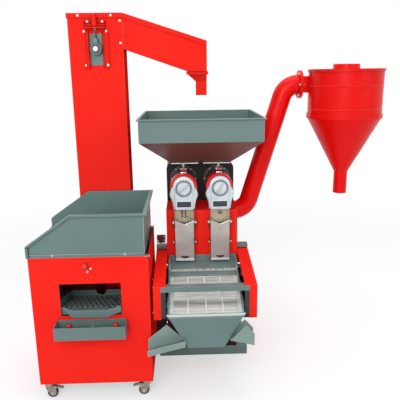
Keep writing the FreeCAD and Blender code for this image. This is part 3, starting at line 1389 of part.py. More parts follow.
def on_sieve(y, down="0"):
    """Height of a line parallel to the sieve's rim, at a distance below it."""
    return f"sieve_z - (sieve_back - ({y})) * sieve_fall - ({down})"


def sieve_tray():
    """Sloping tray: rimmed side walls, tapered front, feed plate, step bar, pan and spring ears."""
    tray = Piece("sieve_tray", "mill_x", "mill_y")
    back = "sieve_back"
    front = "sieve_front"
    half = "sieve_half"
    mouth = "sieve_front + funnel_d"

    def band(y0, y1, top, bottom):
        return [(y0, on_sieve(y0, top)), (y1, on_sieve(y1, top)),
                (y1, on_sieve(y1, bottom)), (y0, on_sieve(y0, bottom))]

    def both_sides(inner, outer):
        return ((f"-({outer})", f"-({inner})"), (inner, outer))

    for low, high in both_sides(f"{half} - sheet", half):
        tray.pad("YZ", low, high, band(back, mouth, "0", "sieve_h"))
        tray.pad("YZ", low, high, band(mouth, front, "0", "sieve_lip"))
    for low, high in both_sides(f"{half} - sieve_edge", half):
        tray.pad("YZ", low, high, band(back, front, "0", "sheet"))
        tray.pad("YZ", low, high, band(mouth, front, "sieve_lip - sheet", "sieve_lip"))
    # Ears for the springs, each a shelf under a tab on the side wall
    for y in ("spring_front", "spring_rear"):
        z = on_sieve(y, "ear_down")
        for low, high in both_sides(half, "spring_out + spring_r + 2"):
            tray.box(low, f"{y} - ear_d / 2", z, high, f"{y} + ear_d / 2", f"{z} + shelf_t")
        for low, high in both_sides(half, f"{half} + shelf_t"):
            near = f"{y} - ear_d / 2"
            far = f"{y} + ear_d / 2"
            tray.pad("YZ", low, high, [
                (near, z), (far, z), (far, on_sieve(far, "sheet")), (near, on_sieve(near, "sheet"))])
    tray.pad("YZ", f"-{half}", half, band(back, f"{back} - sheet", "0", "sieve_h"))
    tray.pad("YZ", f"-{half}", half, band(f"{front} + sieve_edge", front, "0", "sheet"))
    tray.pad("XZ", front, f"{front} + sheet", [
        (f"-{half}", on_sieve(front)), (half, on_sieve(front)),
        ("funnel_top_w / 2", on_sieve(f"{front} + sheet", "sieve_lip")),
        ("-funnel_top_w / 2", on_sieve(f"{front} + sheet", "sieve_lip"))])
    plate = f"{back} - plate_len"
    tray.pad("YZ", f"-{half}", half, band(back, plate, "mesh_down + 8", "mesh_down + 10"))
    bar = f"{back} - bar_at"
    tray.pad("YZ", f"-{half}", half,
             band(bar, f"{bar} - bar_len", "mesh_down - 6", "mesh_down - 3"))
    tray.pad("YZ", f"-{half}", half,
             band(f"{bar} - bar_len + 3", f"{bar} - bar_len", "mesh_down - 6", "mesh_down"))
    tray.pad("YZ", f"-{half}", half, band(back, mouth, "sieve_h - sheet", "sieve_h"))


def sieve_mesh():
    """Slotted screen in four fields between raised dividers."""
    mesh = Piece("sieve_mesh", "mill_x", "mill_y")
    start = "(sieve_back - plate_len)"
    end = "(sieve_front + sheet)"
    half = "(sieve_half - sheet)"
    mesh.pad("YZ", f"-{half}", half, [
        (start, on_sieve(start, "mesh_down")), (end, on_sieve(end, "mesh_down")),
        (end, on_sieve(end, "mesh_down + mesh_t")), (start, on_sieve(start, "mesh_down + mesh_t"))])
    first = "(sieve_back - mesh_at)"
    for i in (-1, 0, 1):
        x = f"{i} * sieve_w / 4"
        mesh.pad("YZ", f"{x} - divider_t / 2", f"{x} + divider_t / 2", [
            (first, on_sieve(first, "mesh_down - 5")), (end, on_sieve(end, "mesh_down - 5")),
            (end, on_sieve(end, "mesh_down")), (first, on_sieve(first, "mesh_down"))])
    slots = []
    for i in range(4):
        x = f"({i} - 2) * sieve_w / 4"
        slots.append(rect(f"{x} + 8", f"{first} - mesh_slot", f"{x} + sieve_w / 4 - 8", first))
    cut = mesh.cut("XY", "sieve_front_z - 40", "sieve_z + 20", *slots)
    count = int(value("mesh_len") / value("mesh_pitch"))
    # The row runs towards the operator
    rows = mesh.row(cut, "Y_Axis", f"mesh_pitch * {count - 1}", count)
    rows.Reversed = True


def sieve_funnel():
    """Grey discharge funnel under the sieve's front half: a taper with a sloping skirt above."""
    funnel = Piece("sieve_funnel", "mill_x", "mill_y")
    front = "sieve_front"
    back = "(sieve_front + funnel_d)"
    knee = on_sieve(front, "sieve_lip")
    top = on_sieve(back, "sieve_lip")

    def mouth(gap):
        return rect(f"{gap} - funnel_top_w / 2", f"{front} + {gap}",
                    f"funnel_top_w / 2 - {gap}", f"{back} - {gap}")

    def outlet(gap):
        return rect(f"{gap} - funnel_out_w / 2", f"{front} + funnel_in + {gap}",
                    f"funnel_out_w / 2 - {gap}", f"{front} + funnel_in + funnel_out_d - {gap}")

    funnel.pad("XY", knee, top, mouth("0"), mouth("sheet"))
    funnel.taper("funnel_z", outlet("0"), knee, mouth("0"))
    funnel.taper("funnel_z", outlet("sheet"), knee, mouth("sheet"), cut=True)
    # The skirt ends along the tray's sloping underside
    funnel.cut("YZ", "-sieve_half", "sieve_half", [
        (f"{front} - 5", on_sieve(f"{front} - 5", "sieve_lip")),
        (f"{back} + 5", on_sieve(f"{back} + 5", "sieve_lip")),
        (f"{back} + 5", f"{top} + 20"), (f"{front} - 5", f"{top} + 20")])
    # The back wall stays below the pan that feeds it
    lintel = f"{back} - sheet - 1"
    funnel.cut("YZ", "sheet - funnel_top_w / 2", "funnel_top_w / 2 - sheet", [
        (lintel, on_sieve(lintel, "sieve_h")), (f"{back} + 5", on_sieve(f"{back} + 5", "sieve_h")),
        (f"{back} + 5", f"{top} + 20"), (lintel, f"{top} + 20")])


def sieve_side_chutes():
    """Open troughs that leave the funnel on both sides, falling outwards."""
    chutes = Piece("sieve_side_chutes", "mill_x", "mill_y")
    y0 = "side_y"
    y1 = "side_y + side_d"
    t = "sheet"
    for name, side in SIDES:
        end = f"side_{name}"
        low = f"side_{name}_z"
        root = f"side_{name}_root"
        top = f"side_{name}_top"
        inner = f"{side} * (funnel_out_w / 2 + ({root} + {t}) * funnel_lean + slide_gap)"
        high = f"funnel_z + {root}"
        upper = f"{side} * side_top_in"
        floor = [(end, low), (inner, high), (inner, f"{high} + {t}"), (end, f"{low} + {t}")]
        chutes.pad("XZ", y0, y1, floor)
        tall = [(end, low), (inner, high), (upper, top), (end, f"{low} + side_wall")]
        strip = [(end, low), (inner, high), (inner, f"{high} + side_strip"),
                 (end, f"{low} + side_strip")]
        chutes.pad("XZ", f"{y1} - {t}", y1, tall)
        chutes.pad("XZ", y0, f"{y0} + {t}", strip if side < 0 else tall)


def sieve_arms():
    """Red side arms: folded sheet with a sloping top, a front flange and spring shelves."""
    for name, side in SIDES:
        arm = Piece(f"sieve_arm_{name}", "mill_x", "mill_y")
        outer = f"{side} * base_half"
        skin = f"{side} * (base_half - sheet)"
        inner = f"{side} * (base_half - arm_w)"
        strip = f"{side} * (base_half - arm_strip)"

        def span(a, b):
            return (b, a) if side > 0 else (a, b)

        low, high = span(outer, skin)
        arm.pad("YZ", low, high, [
            ("arm_front", "arm_foot_z"), ("arm_rear", "arm_under_z"),
            ("arm_rear", "arm_rear_z"), ("arm_front", "arm_knee_z")])
        low, high = span(outer, inner)
        arm.pad("YZ", low, high, [
            ("arm_front", "arm_knee_z - sheet"), ("arm_rear", "arm_rear_z - sheet"),
            ("arm_rear", "arm_rear_z"), ("arm_front", "arm_knee_z")])
        low, high = span(outer, strip)
        arm.box(low, "arm_front", "arm_foot_z", high, "arm_front + sheet", "arm_knee_z - sheet")
        # Foot plate that bolts to the stand's side wall
        low, high = span(outer, f"{side} * stand_half")
        arm.box(low, "arm_rear - sheet", "arm_under_z", high, "arm_rear", "arm_rear_z - sheet")
        near = f"{side} * stand_half"
        low, high = span(f"{side} * (stand_half + 3)", near)
        arm.pad("YZ", low, high, [
            ("4", "arm_rear_z - 60"), ("arm_rear", "arm_rear_z - 60"),
            ("arm_rear", "arm_rear_z + gusset_rise"), ("arm_rear - 20", "arm_rear_z + gusset_rise")])
        low, high = span(skin, f"{side} * (spring_out - spring_r - 2)")
        for y in ("spring_front", "spring_rear"):
            z = f"{on_sieve(y, 'ear_down')} - slide_gap - spring_len"
            arm.box(low, f"{y} - ear_d / 2", f"{z} - shelf_t", high, f"{y} + ear_d / 2", z)


def sieve_cross_bar():
    """Grey bar between the arms over the sieve, and the two grey caps at their rear."""
    bar = Piece("sieve_cross_bar", "mill_x", "mill_y")
    top = "arm_knee_z - sheet"
    reach = "base_half - arm_strip"
    bar.box(f"-({reach})", "arm_front", f"{top} - cross_h", reach, "arm_front + sheet", top)
    wide = "base_half - arm_w"
    bar.box(f"-({wide})", "arm_front", f"{top} - sheet", wide, "arm_front + cross_d", top)
    bar.box(f"-({wide})", "arm_front + cross_d - sheet", f"{top} - cross_h", wide,
            "arm_front + cross_d", top)
    for side in (-1, 1):
        a = f"{side} * ({reach})"
        b = f"{side} * ({wide})"
        low, high = (a, b) if side < 0 else (b, a)
        bar.box(low, "arm_front", "arm_foot_z + leg_up", high, "arm_front + sheet", f"{top} - cross_h")
        a = f"{side} * base_half"
        b = f"{side} * (stand_half + 3)"
        low, high = (a, b) if side < 0 else (b, a)
        bar.box(low, "arm_rear - cap_d", "arm_rear_z", high, "arm_rear", "arm_rear_z + cap_h")


def sieve_springs():
    """Four ribbed rubber springs between the arms' shelves and the tray's ears."""
    springs = Piece("sieve_springs", "mill_x", "mill_y")
    for side in (-1, 1):
        for y in ("spring_front", "spring_rear"):
            top = f"{on_sieve(y, 'ear_down')} - slide_gap"
            x = f"{side} * spring_out"
            springs.rod("Z", f"{top} - spring_len", top, x, y, "spring_r - 4")
            for k in (0, 1, 2):
                z = f"{top} - spring_len + {k} * spring_len * 0.4"
                springs.rod("Z", z, f"{z} + spring_len * 0.2", x, y, "spring_r")


def panel_bolts():
    """Zinc bolt heads on the cabinet, elevator, heads and sieve."""
    heads = []

    def bolt(x, y, z, way):
        head = doc.addObject("Part::Prism", f"bolt{len(heads)}")
        head.Polygon = 6
        head.setExpression("Circumradius", ref("bolt_r"))
        head.setExpression("Height", ref("bolt_t"))
        turns = {"-Y": (Vector(1, 0, 0), 90), "+X": (Vector(0, 1, 0), 90),
                 "+Z": (Vector(0, 0, 1), 0)}
        axis, angle = turns[way]
        head.Placement = FreeCAD.Placement(Vector(0, 0, 0), FreeCAD.Rotation(axis, angle))
        for name, formula in (("x", x), ("y", y), ("z", z)):
            head.setExpression("Placement.Base." + name, ref(formula))
        heads.append(head)

    for dx, z in (("76", "24"), ("380", "24")):
        bolt(f"cab_x + {dx}", "cab_y", f"cab_z + cab_h + {z}", "-Y")
    for dx, z in (("268", "567"), ("253", "553")):
        bolt(f"cab_x + {dx}", "cab_y", f"cab_z + {z}", "-Y")
    for y, z in (("40", "20"), ("280", "40")):
        bolt("cab_right", f"cab_y + {y}", f"cab_z + cab_h + {z}", "+X")
    for y, z in (("40", "560"), ("120", "420"), ("120", "280")):
        bolt("cab_right", f"cab_y + {y}", f"cab_z + {z}", "+X")
    for dx in ("51", "204"):
        bolt(f"el_x + {dx}", "el_y - cover_out", "el_top - cover_h / 2", "-Y")
    for z in ("el_top - 34", "arm_low_z + 28"):
        bolt("el_x + el_w - 12", "el_y", z, "-Y")
    for side in (-1, 1):
        for z in ("slot_z", "slot_z + slot_h"):
            bolt(f"el_x + el_mid + {side} * (slot_w / 2 + 14)", "el_y - rail_t", z, "-Y")
        bolt(f"el_x + el_mid + {side} * (bracket_w / 2 - 14)", "el_y - rail_t", "bracket_z + 20", "-Y")
        for turn in (0, 180, 225, 270, 315):
            c = f"cos({turn} * 1 deg)"
            s = f"sin({turn} * 1 deg)"
            bolt(f"mill_x + {side} * head_half + {c} * (flange_r - 8)", "mill_y + flange_y",
                 f"axis_z + {s} * (flange_r - 8)", "-Y")
    group("panel_bolts", heads)


BUILDERS = (
    caster_mounts, caster_forks, caster_wheels, caster_brakes, cabinet_body, cabinet_frame,
    feed_hopper, feed_gate, stone_tray, tray_knobs, deck_frame, deck_screen, elevator_column,
    elevator_head_chute, elevator_top_cover, elevator_spout, takeup_rails, takeup_blocks,
    head_pulley, boot_pulley, bucket_belt, mill_base_frame, mill_housing, mill_hood, main_hopper,
    hopper_gates, mill_barrels, mill_noses, dial_covers, dials, mill_rotors, discharge_chutes,
    motor, motor_pulley, drive_belts, belt_guard, blower_housing, blower_impeller,
    conveying_pipe, cyclone_barrel, cyclone_lid, cyclone_cone, sieve_tray, sieve_mesh,
    sieve_funnel, sieve_side_chutes, sieve_arms, sieve_cross_bar, sieve_springs, panel_bolts)

for build in BUILDERS:
    build()
doc.recompute()

broken = [thing.Label for thing in doc.Objects
          if "Invalid" in thing.State or "Error" in thing.State]
broken += [piece.Label for piece in PIECES if piece.Shape.isNull() or not piece.Shape.isValid()]
if broken:
    raise RuntimeError("These did not build: " + ", ".join(broken))

os.makedirs("parts", exist_ok=True)
for piece in PIECES:
    piece.Shape.exportStep(f"parts/{piece.Label}.step")
print(len(PIECES), "pieces written")
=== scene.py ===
import math

import bmesh
import bpy
from mathutils import Matrix, Vector


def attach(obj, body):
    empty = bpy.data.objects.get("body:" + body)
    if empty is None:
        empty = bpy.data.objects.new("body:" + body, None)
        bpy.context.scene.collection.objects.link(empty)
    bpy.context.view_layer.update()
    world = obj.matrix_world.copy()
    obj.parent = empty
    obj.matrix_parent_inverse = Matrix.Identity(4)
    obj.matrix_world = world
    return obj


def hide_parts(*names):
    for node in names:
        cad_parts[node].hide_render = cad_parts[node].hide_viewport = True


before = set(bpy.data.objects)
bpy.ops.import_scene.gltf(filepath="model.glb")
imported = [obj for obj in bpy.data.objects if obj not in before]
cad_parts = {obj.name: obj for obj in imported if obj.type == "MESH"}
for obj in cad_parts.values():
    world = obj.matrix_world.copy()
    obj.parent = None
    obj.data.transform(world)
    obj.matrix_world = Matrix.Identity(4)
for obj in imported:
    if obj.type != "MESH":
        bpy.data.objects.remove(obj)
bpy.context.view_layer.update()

# The view. The camera stands in front of the machine, a little left of its middle, and looks
# down on it from about the height of a person's shoulder.
photo_width = 400
focal_pixels = 494.69
eye = (-0.165, -2.3832, 1.4708)
pitch, yaw, roll = math.radians(14.376), math.radians(1.674), math.radians(0.763)
camera_data = bpy.data.cameras.new("camera")
camera_data.sensor_width = 36.0
camera_data.lens = focal_pixels * camera_data.sensor_width / photo_width
camera = bpy.data.objects.new("camera", camera_data)
bpy.context.scene.collection.objects.link(camera)
turn = (Matrix.Rotation(-yaw, 4, "Z") @ Matrix.Rotation(math.pi / 2 - pitch, 4, "X")
        @ Matrix.Rotation(-roll, 4, "Z"))
camera.matrix_world = Matrix.Translation(eye) @ turn
bpy.context.scene.camera = camera
bpy.context.scene.view_settings.view_transform = "Standard"


def lamp(name, place, aim, size, power):
    """Square soft lamp that looks at a point."""
    data = bpy.data.lights.new(name, "AREA")
    data.size = size
    data.energy = power
    body = bpy.data.objects.new(name, data)
    bpy.context.scene.collection.objects.link(body)
    body.location = place
    body.rotation_euler = (Vector(aim) - Vector(place)).to_track_quat("-Z", "Y").to_euler()


lamp("key_light", (-1.1, -4.3, 2.9), (0.0, 0.0, 0.9), 3.0, 116)
lamp("fill_light", (3.2, -3.0, 2.2), (0.2, 0.0, 0.9), 2.6, 18)
lamp("top_light", (0.2, 0.2, 4.6), (0.0, 0.0, 0.0), 3.2, 56)


def add_node(tree, kind, inputs=(), **settings):
    """Shader node with its settings. Each input is given a value, or a socket to read."""
    made = tree.nodes.new(kind)
    for name, setting in settings.items():
        setattr(made, name, setting)
    for name, value in dict(inputs).items():
        if isinstance(value, bpy.types.NodeSocket):
            tree.links.new(value, made.inputs[name])
        else:
            made.inputs[name].default_value = value
    return made


def seen_directly(tree):
    """One for what the lens sees, straight or in a shine; zero for light on the object."""
    path = add_node(tree, "ShaderNodeLightPath")
    total = path.outputs["Is Camera Ray"]
    for ray in ("Is Glossy Ray", "Is Transmission Ray"):
        either = add_node(tree, "ShaderNodeMath", {0: total, 1: path.outputs[ray]}, operation="MAXIMUM")
        total = either.outputs[0]
    return total


def choose(tree, factor, below, above):
    """Shader that goes from one to another by a factor."""
    return add_node(tree, "ShaderNodeMixShader", {0: factor, 1: below.outputs[0], 2: above.outputs[0]})


world = bpy.data.worlds.new("studio")
bpy.context.scene.world = world
world.use_nodes = True
sky = world.node_tree
white = (1.0, 1.0, 1.0, 1.0)
room = sky.nodes["Background"]
room.inputs["Color"].default_value = white
room.inputs["Strength"].default_value = 0.5
bright = add_node(sky, "ShaderNodeBackground", {"Color": white, "Strength": 1.0})
shown = choose(sky, seen_directly(sky), room, bright)
sky.links.new(shown.outputs[0], sky.nodes["World Output"].inputs["Surface"])

# The floor: pale and matt, seen as white paper that keeps the shadow and goes over into the
# white of the room a few metres away.
floor_mesh = bpy.data.meshes.new("floor")
bm = bmesh.new()
bmesh.ops.create_grid(bm, x_segments=1, y_segments=1, size=60.0)
bm.to_mesh(floor_mesh)
bm.free()
floor = bpy.data.objects.new("floor", floor_mesh)
bpy.context.scene.collection.objects.link(floor)
paper = bpy.data.materials.new("paper")
paper.use_nodes = True
leaf = paper.node_tree
matt = leaf.nodes["Principled BSDF"]
matt.inputs["Base Color"].default_value = (0.6, 0.6, 0.6, 1.0)
matt.inputs["Roughness"].default_value = 0.9
matt.inputs["Specular IOR Level"].default_value = 0.1
glow = add_node(leaf, "ShaderNodeEmission", {"Strength": 0.5})
near = add_node(leaf, "ShaderNodeAddShader", {0: matt.outputs[0], 1: glow.outputs[0]})
far = add_node(leaf, "ShaderNodeEmission")
spot = add_node(leaf, "ShaderNodeTexCoord").outputs["Object"]
span = add_node(leaf, "ShaderNodeVectorMath", {0: spot}, operation="LENGTH")
fade = add_node(leaf, "ShaderNodeMapRange", {
    "From Min": 1.6, "From Max": 3.6, "Value": span.outputs["Value"]})
shown = choose(leaf, seen_directly(leaf), matt, choose(leaf, fade.outputs[0], near, far))
leaf.links.new(shown.outputs[0], leaf.nodes["Material Output"].inputs["Surface"])
floor_mesh.materials.append(paper)

# The cleaner's cabinet: folded steel panels in red powder coat, screwed to a grey frame of
# welded square tube. Its front has the window over the stone tray.


class Finish:
    """A surface finish: one shader, and the nodes that vary it."""

    def __init__(self, name, colour, roughness, metal=0.0):
        self.material = bpy.data.materials.new(name)
        self.material.use_nodes = True
        self.tree = self.material.node_tree
        self.shader = self.tree.nodes["Principled BSDF"]
        self.shader.inputs["Base Color"].default_value = (*colour, 1.0)
        self.shader.inputs["Roughness"].default_value = roughness
        self.shader.inputs["Metallic"].default_value = metal
        self.place = self.add("ShaderNodeTexCoord").outputs["Object"]

    def add(self, kind, inputs=(), **settings):
        return add_node(self.tree, kind, inputs, **settings)

    def join(self, source, target):
        self.tree.links.new(source, target)

    def noise(self, scale, detail=3.0, stretch=(1, 1, 1)):
        spread = self.add("ShaderNodeMapping", {"Vector": self.place, "Scale": stretch})
        cloud = self.add("ShaderNodeTexNoise", {
            "Vector": spread.outputs["Vector"], "Scale": scale, "Detail": detail})
        return cloud.outputs["Fac"]

    def between(self, source, low, high, start=0.0, end=1.0):
        """The source from low to high, spread over start to end."""
        spread = self.add("ShaderNodeMapRange", {
            "Value": source, "From Min": low, "From Max": high, "To Min": start, "To Max": end})
        return spread.outputs["Result"]

    def times(self, a, b):
        return self.add("ShaderNodeMath", {0: a, 1: b}, operation="MULTIPLY").outputs[0]

    def blend(self, factor, below, above):
        """A colour from below to above; each is a colour or a socket."""
        below, above = ((*end, 1.0) if isinstance(end, tuple) else end for end in (below, above))
        mix = self.add("ShaderNodeMix", {"Factor": factor, 6: below, 7: above}, data_type="RGBA")
        return mix.outputs[2]

    def colour(self, source):
        self.join(source, self.shader.inputs["Base Color"])

    def rough(self, source):
        self.join(source, self.shader.inputs["Roughness"])

    def edges(self, radius):
        """Soft fold radius on the shading, and a mask of the folds themselves."""
        self.fold = self.add("ShaderNodeBevel", {"Radius": radius}, samples=6).outputs["Normal"]
        flat = self.add("ShaderNodeNewGeometry").outputs["Normal"]
        dot = self.add("ShaderNodeVectorMath", {0: self.fold, 1: flat}, operation="DOT_PRODUCT")
        return self.between(dot.outputs["Value"], 0.995, 0.9)

    def shade_hollows(self, colour, depth, dark):
        """The colour with painted shade: darker where faces meet in a corner."""
        corner_shade = self.add("ShaderNodeAmbientOcclusion", {"Distance": depth}, samples=6)
        return self.blend(self.between(corner_shade.outputs["AO"], 0.3, 0.8), dark, colour)

    def part_of(self, name, low, high):
        """A mask by place: from low to high on one axis of the object."""
        if not hasattr(self, "axes"):
            self.axes = self.add("ShaderNodeSeparateXYZ", {0: self.place})
        return self.between(self.axes.outputs[name], low, high)

    def inside(self, low, high):
        """A mask of the box between two corners."""
        parts = [self.part_of(name, end, end + step * 0.0006)
                 for step, corner in ((1, low), (-1, high)) for name, end in zip("XYZ", corner)]
        mask = parts[0]
        for part in parts[1:]:
            mask = self.times(mask, part)
        return mask

    def upward(self, low, high):
        """A mask by how far a face looks up, from low to high."""
        flat = self.add("ShaderNodeNewGeometry").outputs["Normal"]
        axes = self.add("ShaderNodeSeparateXYZ", {0: flat})
        return self.between(axes.outputs["Z"], low, high)

    def bump(self, height, depth, strength):
        bump = self.add("ShaderNodeBump", {"Height": height, "Distance": depth, "Strength": strength})
        if hasattr(self, "fold"):
            self.join(self.fold, bump.inputs["Normal"])
        self.join(bump.outputs["Normal"], self.shader.inputs["Normal"])


def enamel(name, colour, shade, worn, roughness=0.34, fold=0.0025, shine=0.18, under=None,
           patch=None, shade_reach=0.012):
    """Stoved enamel on sheet steel: slow colour drift, orange peel, paler rubbed folds and painted shade
    in the nooks.
    It may have another tone where it looks down, a painted reflection, or in a patch between two corners,
    a painted shade."""
    coat = Finish(name, colour, roughness)
    drift = coat.between(coat.noise(3.5, 2.0), 0.35, 0.65)
    edge = coat.times(coat.edges(fold), coat.between(coat.noise(60.0, 4.0), 0.35, 0.6, 0.25, 1.0))
    skin = coat.blend(drift, colour, shade)
    # Painted reflection: another tone where the face looks down.
    if under:
        skin = coat.blend(coat.upward(-0.45, -0.3), under, skin)
    skin = coat.blend(edge, skin, worn)
    # Painted shade: a darker tone inside the box between two corners.
    if patch:
        low, high, tone = patch
        skin = coat.blend(coat.inside(low, high), skin, tone)
    # Painted shade: the colour darkens where faces meet in a corner.
    coat.colour(coat.shade_hollows(skin, shade_reach, tuple(part * 0.3 for part in shade)))
    coat.rough(coat.between(coat.noise(18.0, 5.0), 0.3, 0.7, roughness - 0.06, roughness + 0.1))
    coat.bump(coat.noise(420.0, 2.0), 0.0004, 0.35)
    coat.shader.inputs["Specular IOR Level"].default_value = shine
    return coat.material


def dress(finish, *names):
    """Gives CAD nodes their finish."""
    for name in names:
        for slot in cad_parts[name].material_slots:
            slot.material = finish


red, deep_red, rubbed_red = (1.0, 0.029, 0.019), (0.98, 0.024, 0.016), (1.0, 0.14, 0.1)
rubbed_grey = (0.36, 0.46, 0.44)
red_matt, grey_shine = 0.42, 0.35
red_enamel = enamel("red_enamel", red, deep_red, rubbed_red, red_matt, shine=0.0)
grey_enamel = enamel("grey_enamel", (0.146, 0.225, 0.216), (0.13, 0.205, 0.195), rubbed_grey,
                     shine=grey_shine)
# Painted shade: inside the cabinet, behind its front panel, the red turns dark brown.
cabinet_inside_shade = ((-0.854, -0.3552, 0.04), (-0.336, 0.0832, 0.704), (0.26, 0.06, 0.05))
cabinet_enamel = enamel("cabinet_enamel", red, deep_red, rubbed_red, red_matt, shine=0.0,
                        patch=cabinet_inside_shade)
dress(cabinet_enamel, "cabinet_body")
dress(grey_enamel, "cabinet_frame")

# The screws that hold the panels: zinc plated hexagon heads on washers, all of one size, in the
# cabinet, in the elevator head and round the flanges of both milling barrels.


def soften(bm, edges, radius, rounds):
    """Rounds edges off."""
    bmesh.ops.bevel(bm, geom=list(edges), offset=radius, segments=rounds, profile=0.5,
                    affect="EDGES", material=-1, clamp_overlap=True)


def block(bm, low, high, soft=0.0, rounds=2):
    """Rectangular bar between two corners, its edges rounded off."""
    low, high = Vector(low), Vector(high)
    made = bmesh.ops.create_cube(bm, size=1.0)["verts"]
    bmesh.ops.scale(bm, vec=high - low, verts=made)
    bmesh.ops.translate(bm, vec=(low + high) / 2, verts=made)
    if soft:
        soften(bm, {edge for vert in made for edge in vert.link_edges}, soft, rounds)


def bar(bm, start, end, radius, sides):
    """Round or many-sided bar between two points, closed at both ends."""
    start, end = Vector(start), Vector(end)
    along = end - start
    place = Matrix.Translation((start + end) / 2) @ along.to_track_quat("Z", "Y").to_matrix().to_4x4()
    return bmesh.ops.create_cone(bm, cap_ends=True, segments=sides, radius1=radius, radius2=radius,
                                 depth=along.length, matrix=place)["verts"]


def added(bm, before):
    """The points that a mesh has gained."""
    return [vert for vert in bm.verts if vert not in before]


def turned(bm, outline, place, axis, sides=40):
    """Form turned on an axis, from pairs of radius and height."""
    before = set(bm.verts)
    points = [bm.verts.new((radius, 0.0, height)) for radius, height in outline]
    edges = [bm.edges.new(pair) for pair in zip(points, points[1:])]
    bmesh.ops.spin(bm, geom=points + edges, cent=(0, 0, 0), axis=(0, 0, 1),
                   angle=2 * math.pi, steps=sides, use_merge=True)
    bmesh.ops.remove_doubles(bm, verts=added(bm, before), dist=1e-6)
    turn = Vector(axis).to_track_quat("Z", "Y").to_matrix().to_4x4()
    bmesh.ops.transform(bm, matrix=Matrix.Translation(place) @ turn, verts=added(bm, before))


def hex_head(bm, place, axis, size=0.0043, height=0.0034):
    """Washer with a chamfered hexagon head on it, standing on a face."""
    place, axis = Vector(place), Vector(axis).normalized()
    turned(bm, [(0.0, 0.0012), (size * 1.15, 0.0012), (size * 1.3, 0.0008), (size * 1.3, 0.0)],
           place, axis, 20)
    verts = bar(bm, place + axis * 0.001, place + axis * (0.001 + height), size, 6)
    top = max((vert.co - place).dot(axis) for vert in verts)
    rim = {edge for vert in verts for edge in vert.link_edges
           if all((end.co - place).dot(axis) > top - 1e-5 for end in edge.verts)}
    soften(bm, rim, size * 0.18, 2)


def form(name, bm, finish, body, stands_for=()):
    """Finished piece from its mesh: outward faces, smooth turns, finish, body and slot."""
    bmesh.ops.recalc_face_normals(bm, faces=bm.faces)
    mesh = bpy.data.meshes.new(name)
    bm.to_mesh(mesh)
    bm.free()
    mesh.materials.append(finish)
    for face in mesh.polygons:
        face.use_smooth = True
    mesh.set_sharp_from_angle(angle=math.radians(32))
    piece = bpy.data.objects.new(name, mesh)
    bpy.context.scene.collection.objects.link(piece)
    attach(piece, body)
    if stands_for:
        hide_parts(*stands_for)


def plated(name, colour, roughness, streak=0.12):
    """Bare or zinc plated metal: cloudy grain, fine scratches and uneven shine."""
    metal = Finish(name, colour, roughness, 1.0)
    cloud = metal.between(metal.noise(35.0, 5.0), 0.3, 0.7)
    dull = tuple(part * (1.0 - streak * 2.0) for part in colour)
    metal.colour(metal.blend(cloud, colour, dull))
    metal.rough(metal.between(metal.noise(140.0, 4.0), 0.3, 0.7, roughness - 0.08, roughness + 0.16))
    metal.edges(0.0008)
    metal.bump(metal.noise(600.0, 3.0), 0.0002, 0.3)
    return metal.material


zinc = plated("zinc_plate", (0.7, 0.67, 0.6), 0.36)
side_screws = ((-0.316, 0.69), (-0.176, 0.519), (-0.167, 0.468), (-0.226, 0.37))
front_screws = ((-0.747, 0.7165), (-0.434, 0.7165), (-0.602, 0.638), (-0.587, 0.652))
head_screws = ((-0.653, 1.738), (-0.5, 1.738), (-0.628, 1.514), (-0.628, 1.668), (-0.6105, 1.71),
               (-0.5405, 1.71), (-0.5235, 1.514), (-0.5235, 1.668))
barrel_x = {"left": -0.175, "right": 0.001}
flange_y, barrel_z, bolt_circle = 0.192, 0.93, 0.062
to_operator = (0, -1, 0)
bm = bmesh.new()
for y, z in side_screws:
    hex_head(bm, (-0.335, y, z), (1, 0, 0))
for x, z in front_screws:
    hex_head(bm, (x, -0.356, z), to_operator)
for x, z in head_screws:
    hex_head(bm, (x, 0.08, z), to_operator)
for z in (1.614, 1.714):
    hex_head(bm, (-0.459, 0.084, z), to_operator)
for x in barrel_x.values():
    for degrees in (52, 90, 128, 180, 225, 270, 315, 360):
        turn = math.radians(degrees)
        place = (x + bolt_circle * math.cos(turn), flange_y, barrel_z + bolt_circle * math.sin(turn))
        hex_head(bm, place, to_operator)
form("panel_screws", bm, zinc, "station", ("panel_bolts",))

# The feed hopper on top of the cabinet: folded grey sheet with turned lips, and the slide
# under its spout that a red ball in front of the cabinet pulls.


def moulded(name, colour, roughness=0.3):
    """Moulded plastic: even colour, faint flow marks and a fine pebbled skin."""
    plastic = Finish(name, colour, roughness)
    deep = tuple(part * 0.82 for part in colour)
    plastic.colour(plastic.blend(plastic.between(plastic.noise(40.0, 3.0), 0.35, 0.65), colour, deep))
    plastic.rough(plastic.between(plastic.noise(90.0, 4.0), 0.3, 0.7, roughness - 0.05, roughness + 0.12))
    plastic.bump(plastic.noise(900.0, 2.0), 0.0002, 0.3)
    return plastic.material


def ball_knob(bm, place, radius):
    """Ball knob, a little squared off, that faces the operator."""
    squared = 2 / 3
    width, length = radius * 1.11, radius * 1.02 * 1.11
    outline = []
    for step in range(13):
        turn = math.pi * step / 12
        height = math.copysign(abs(math.cos(turn)) ** squared, math.cos(turn))
        outline.append((math.sin(turn) ** squared * width, height * length))
    turned(bm, outline, place, to_operator, 36)


def prism(bm, outline, front, back):
    """Plate of an outline in X and Z between two places on Y; gives its front face."""
    face = bm.faces.new([bm.verts.new((x, front, z)) for x, z in outline])
    sides = bmesh.ops.extrude_face_region(bm, geom=[face])
    moved = [part for part in sides["geom"] if isinstance(part, bmesh.types.BMVert)]
    bmesh.ops.translate(bm, vec=(0, back - front, 0), verts=moved)
    return face


def surround(bm, outer, inner, foot, top):
    """Four bars between an outer and an inner rectangle, each given by two corners."""
    (x0, y0), (x3, y3) = outer
    (x1, y1), (x2, y2) = inner
    for low, high in (((x0, y0), (x1, y3)), ((x2, y0), (x3, y3)),
                      ((x1, y0), (x2, y1)), ((x1, y2), (x2, y3))):
        block(bm, (*low, foot), (*high, top))


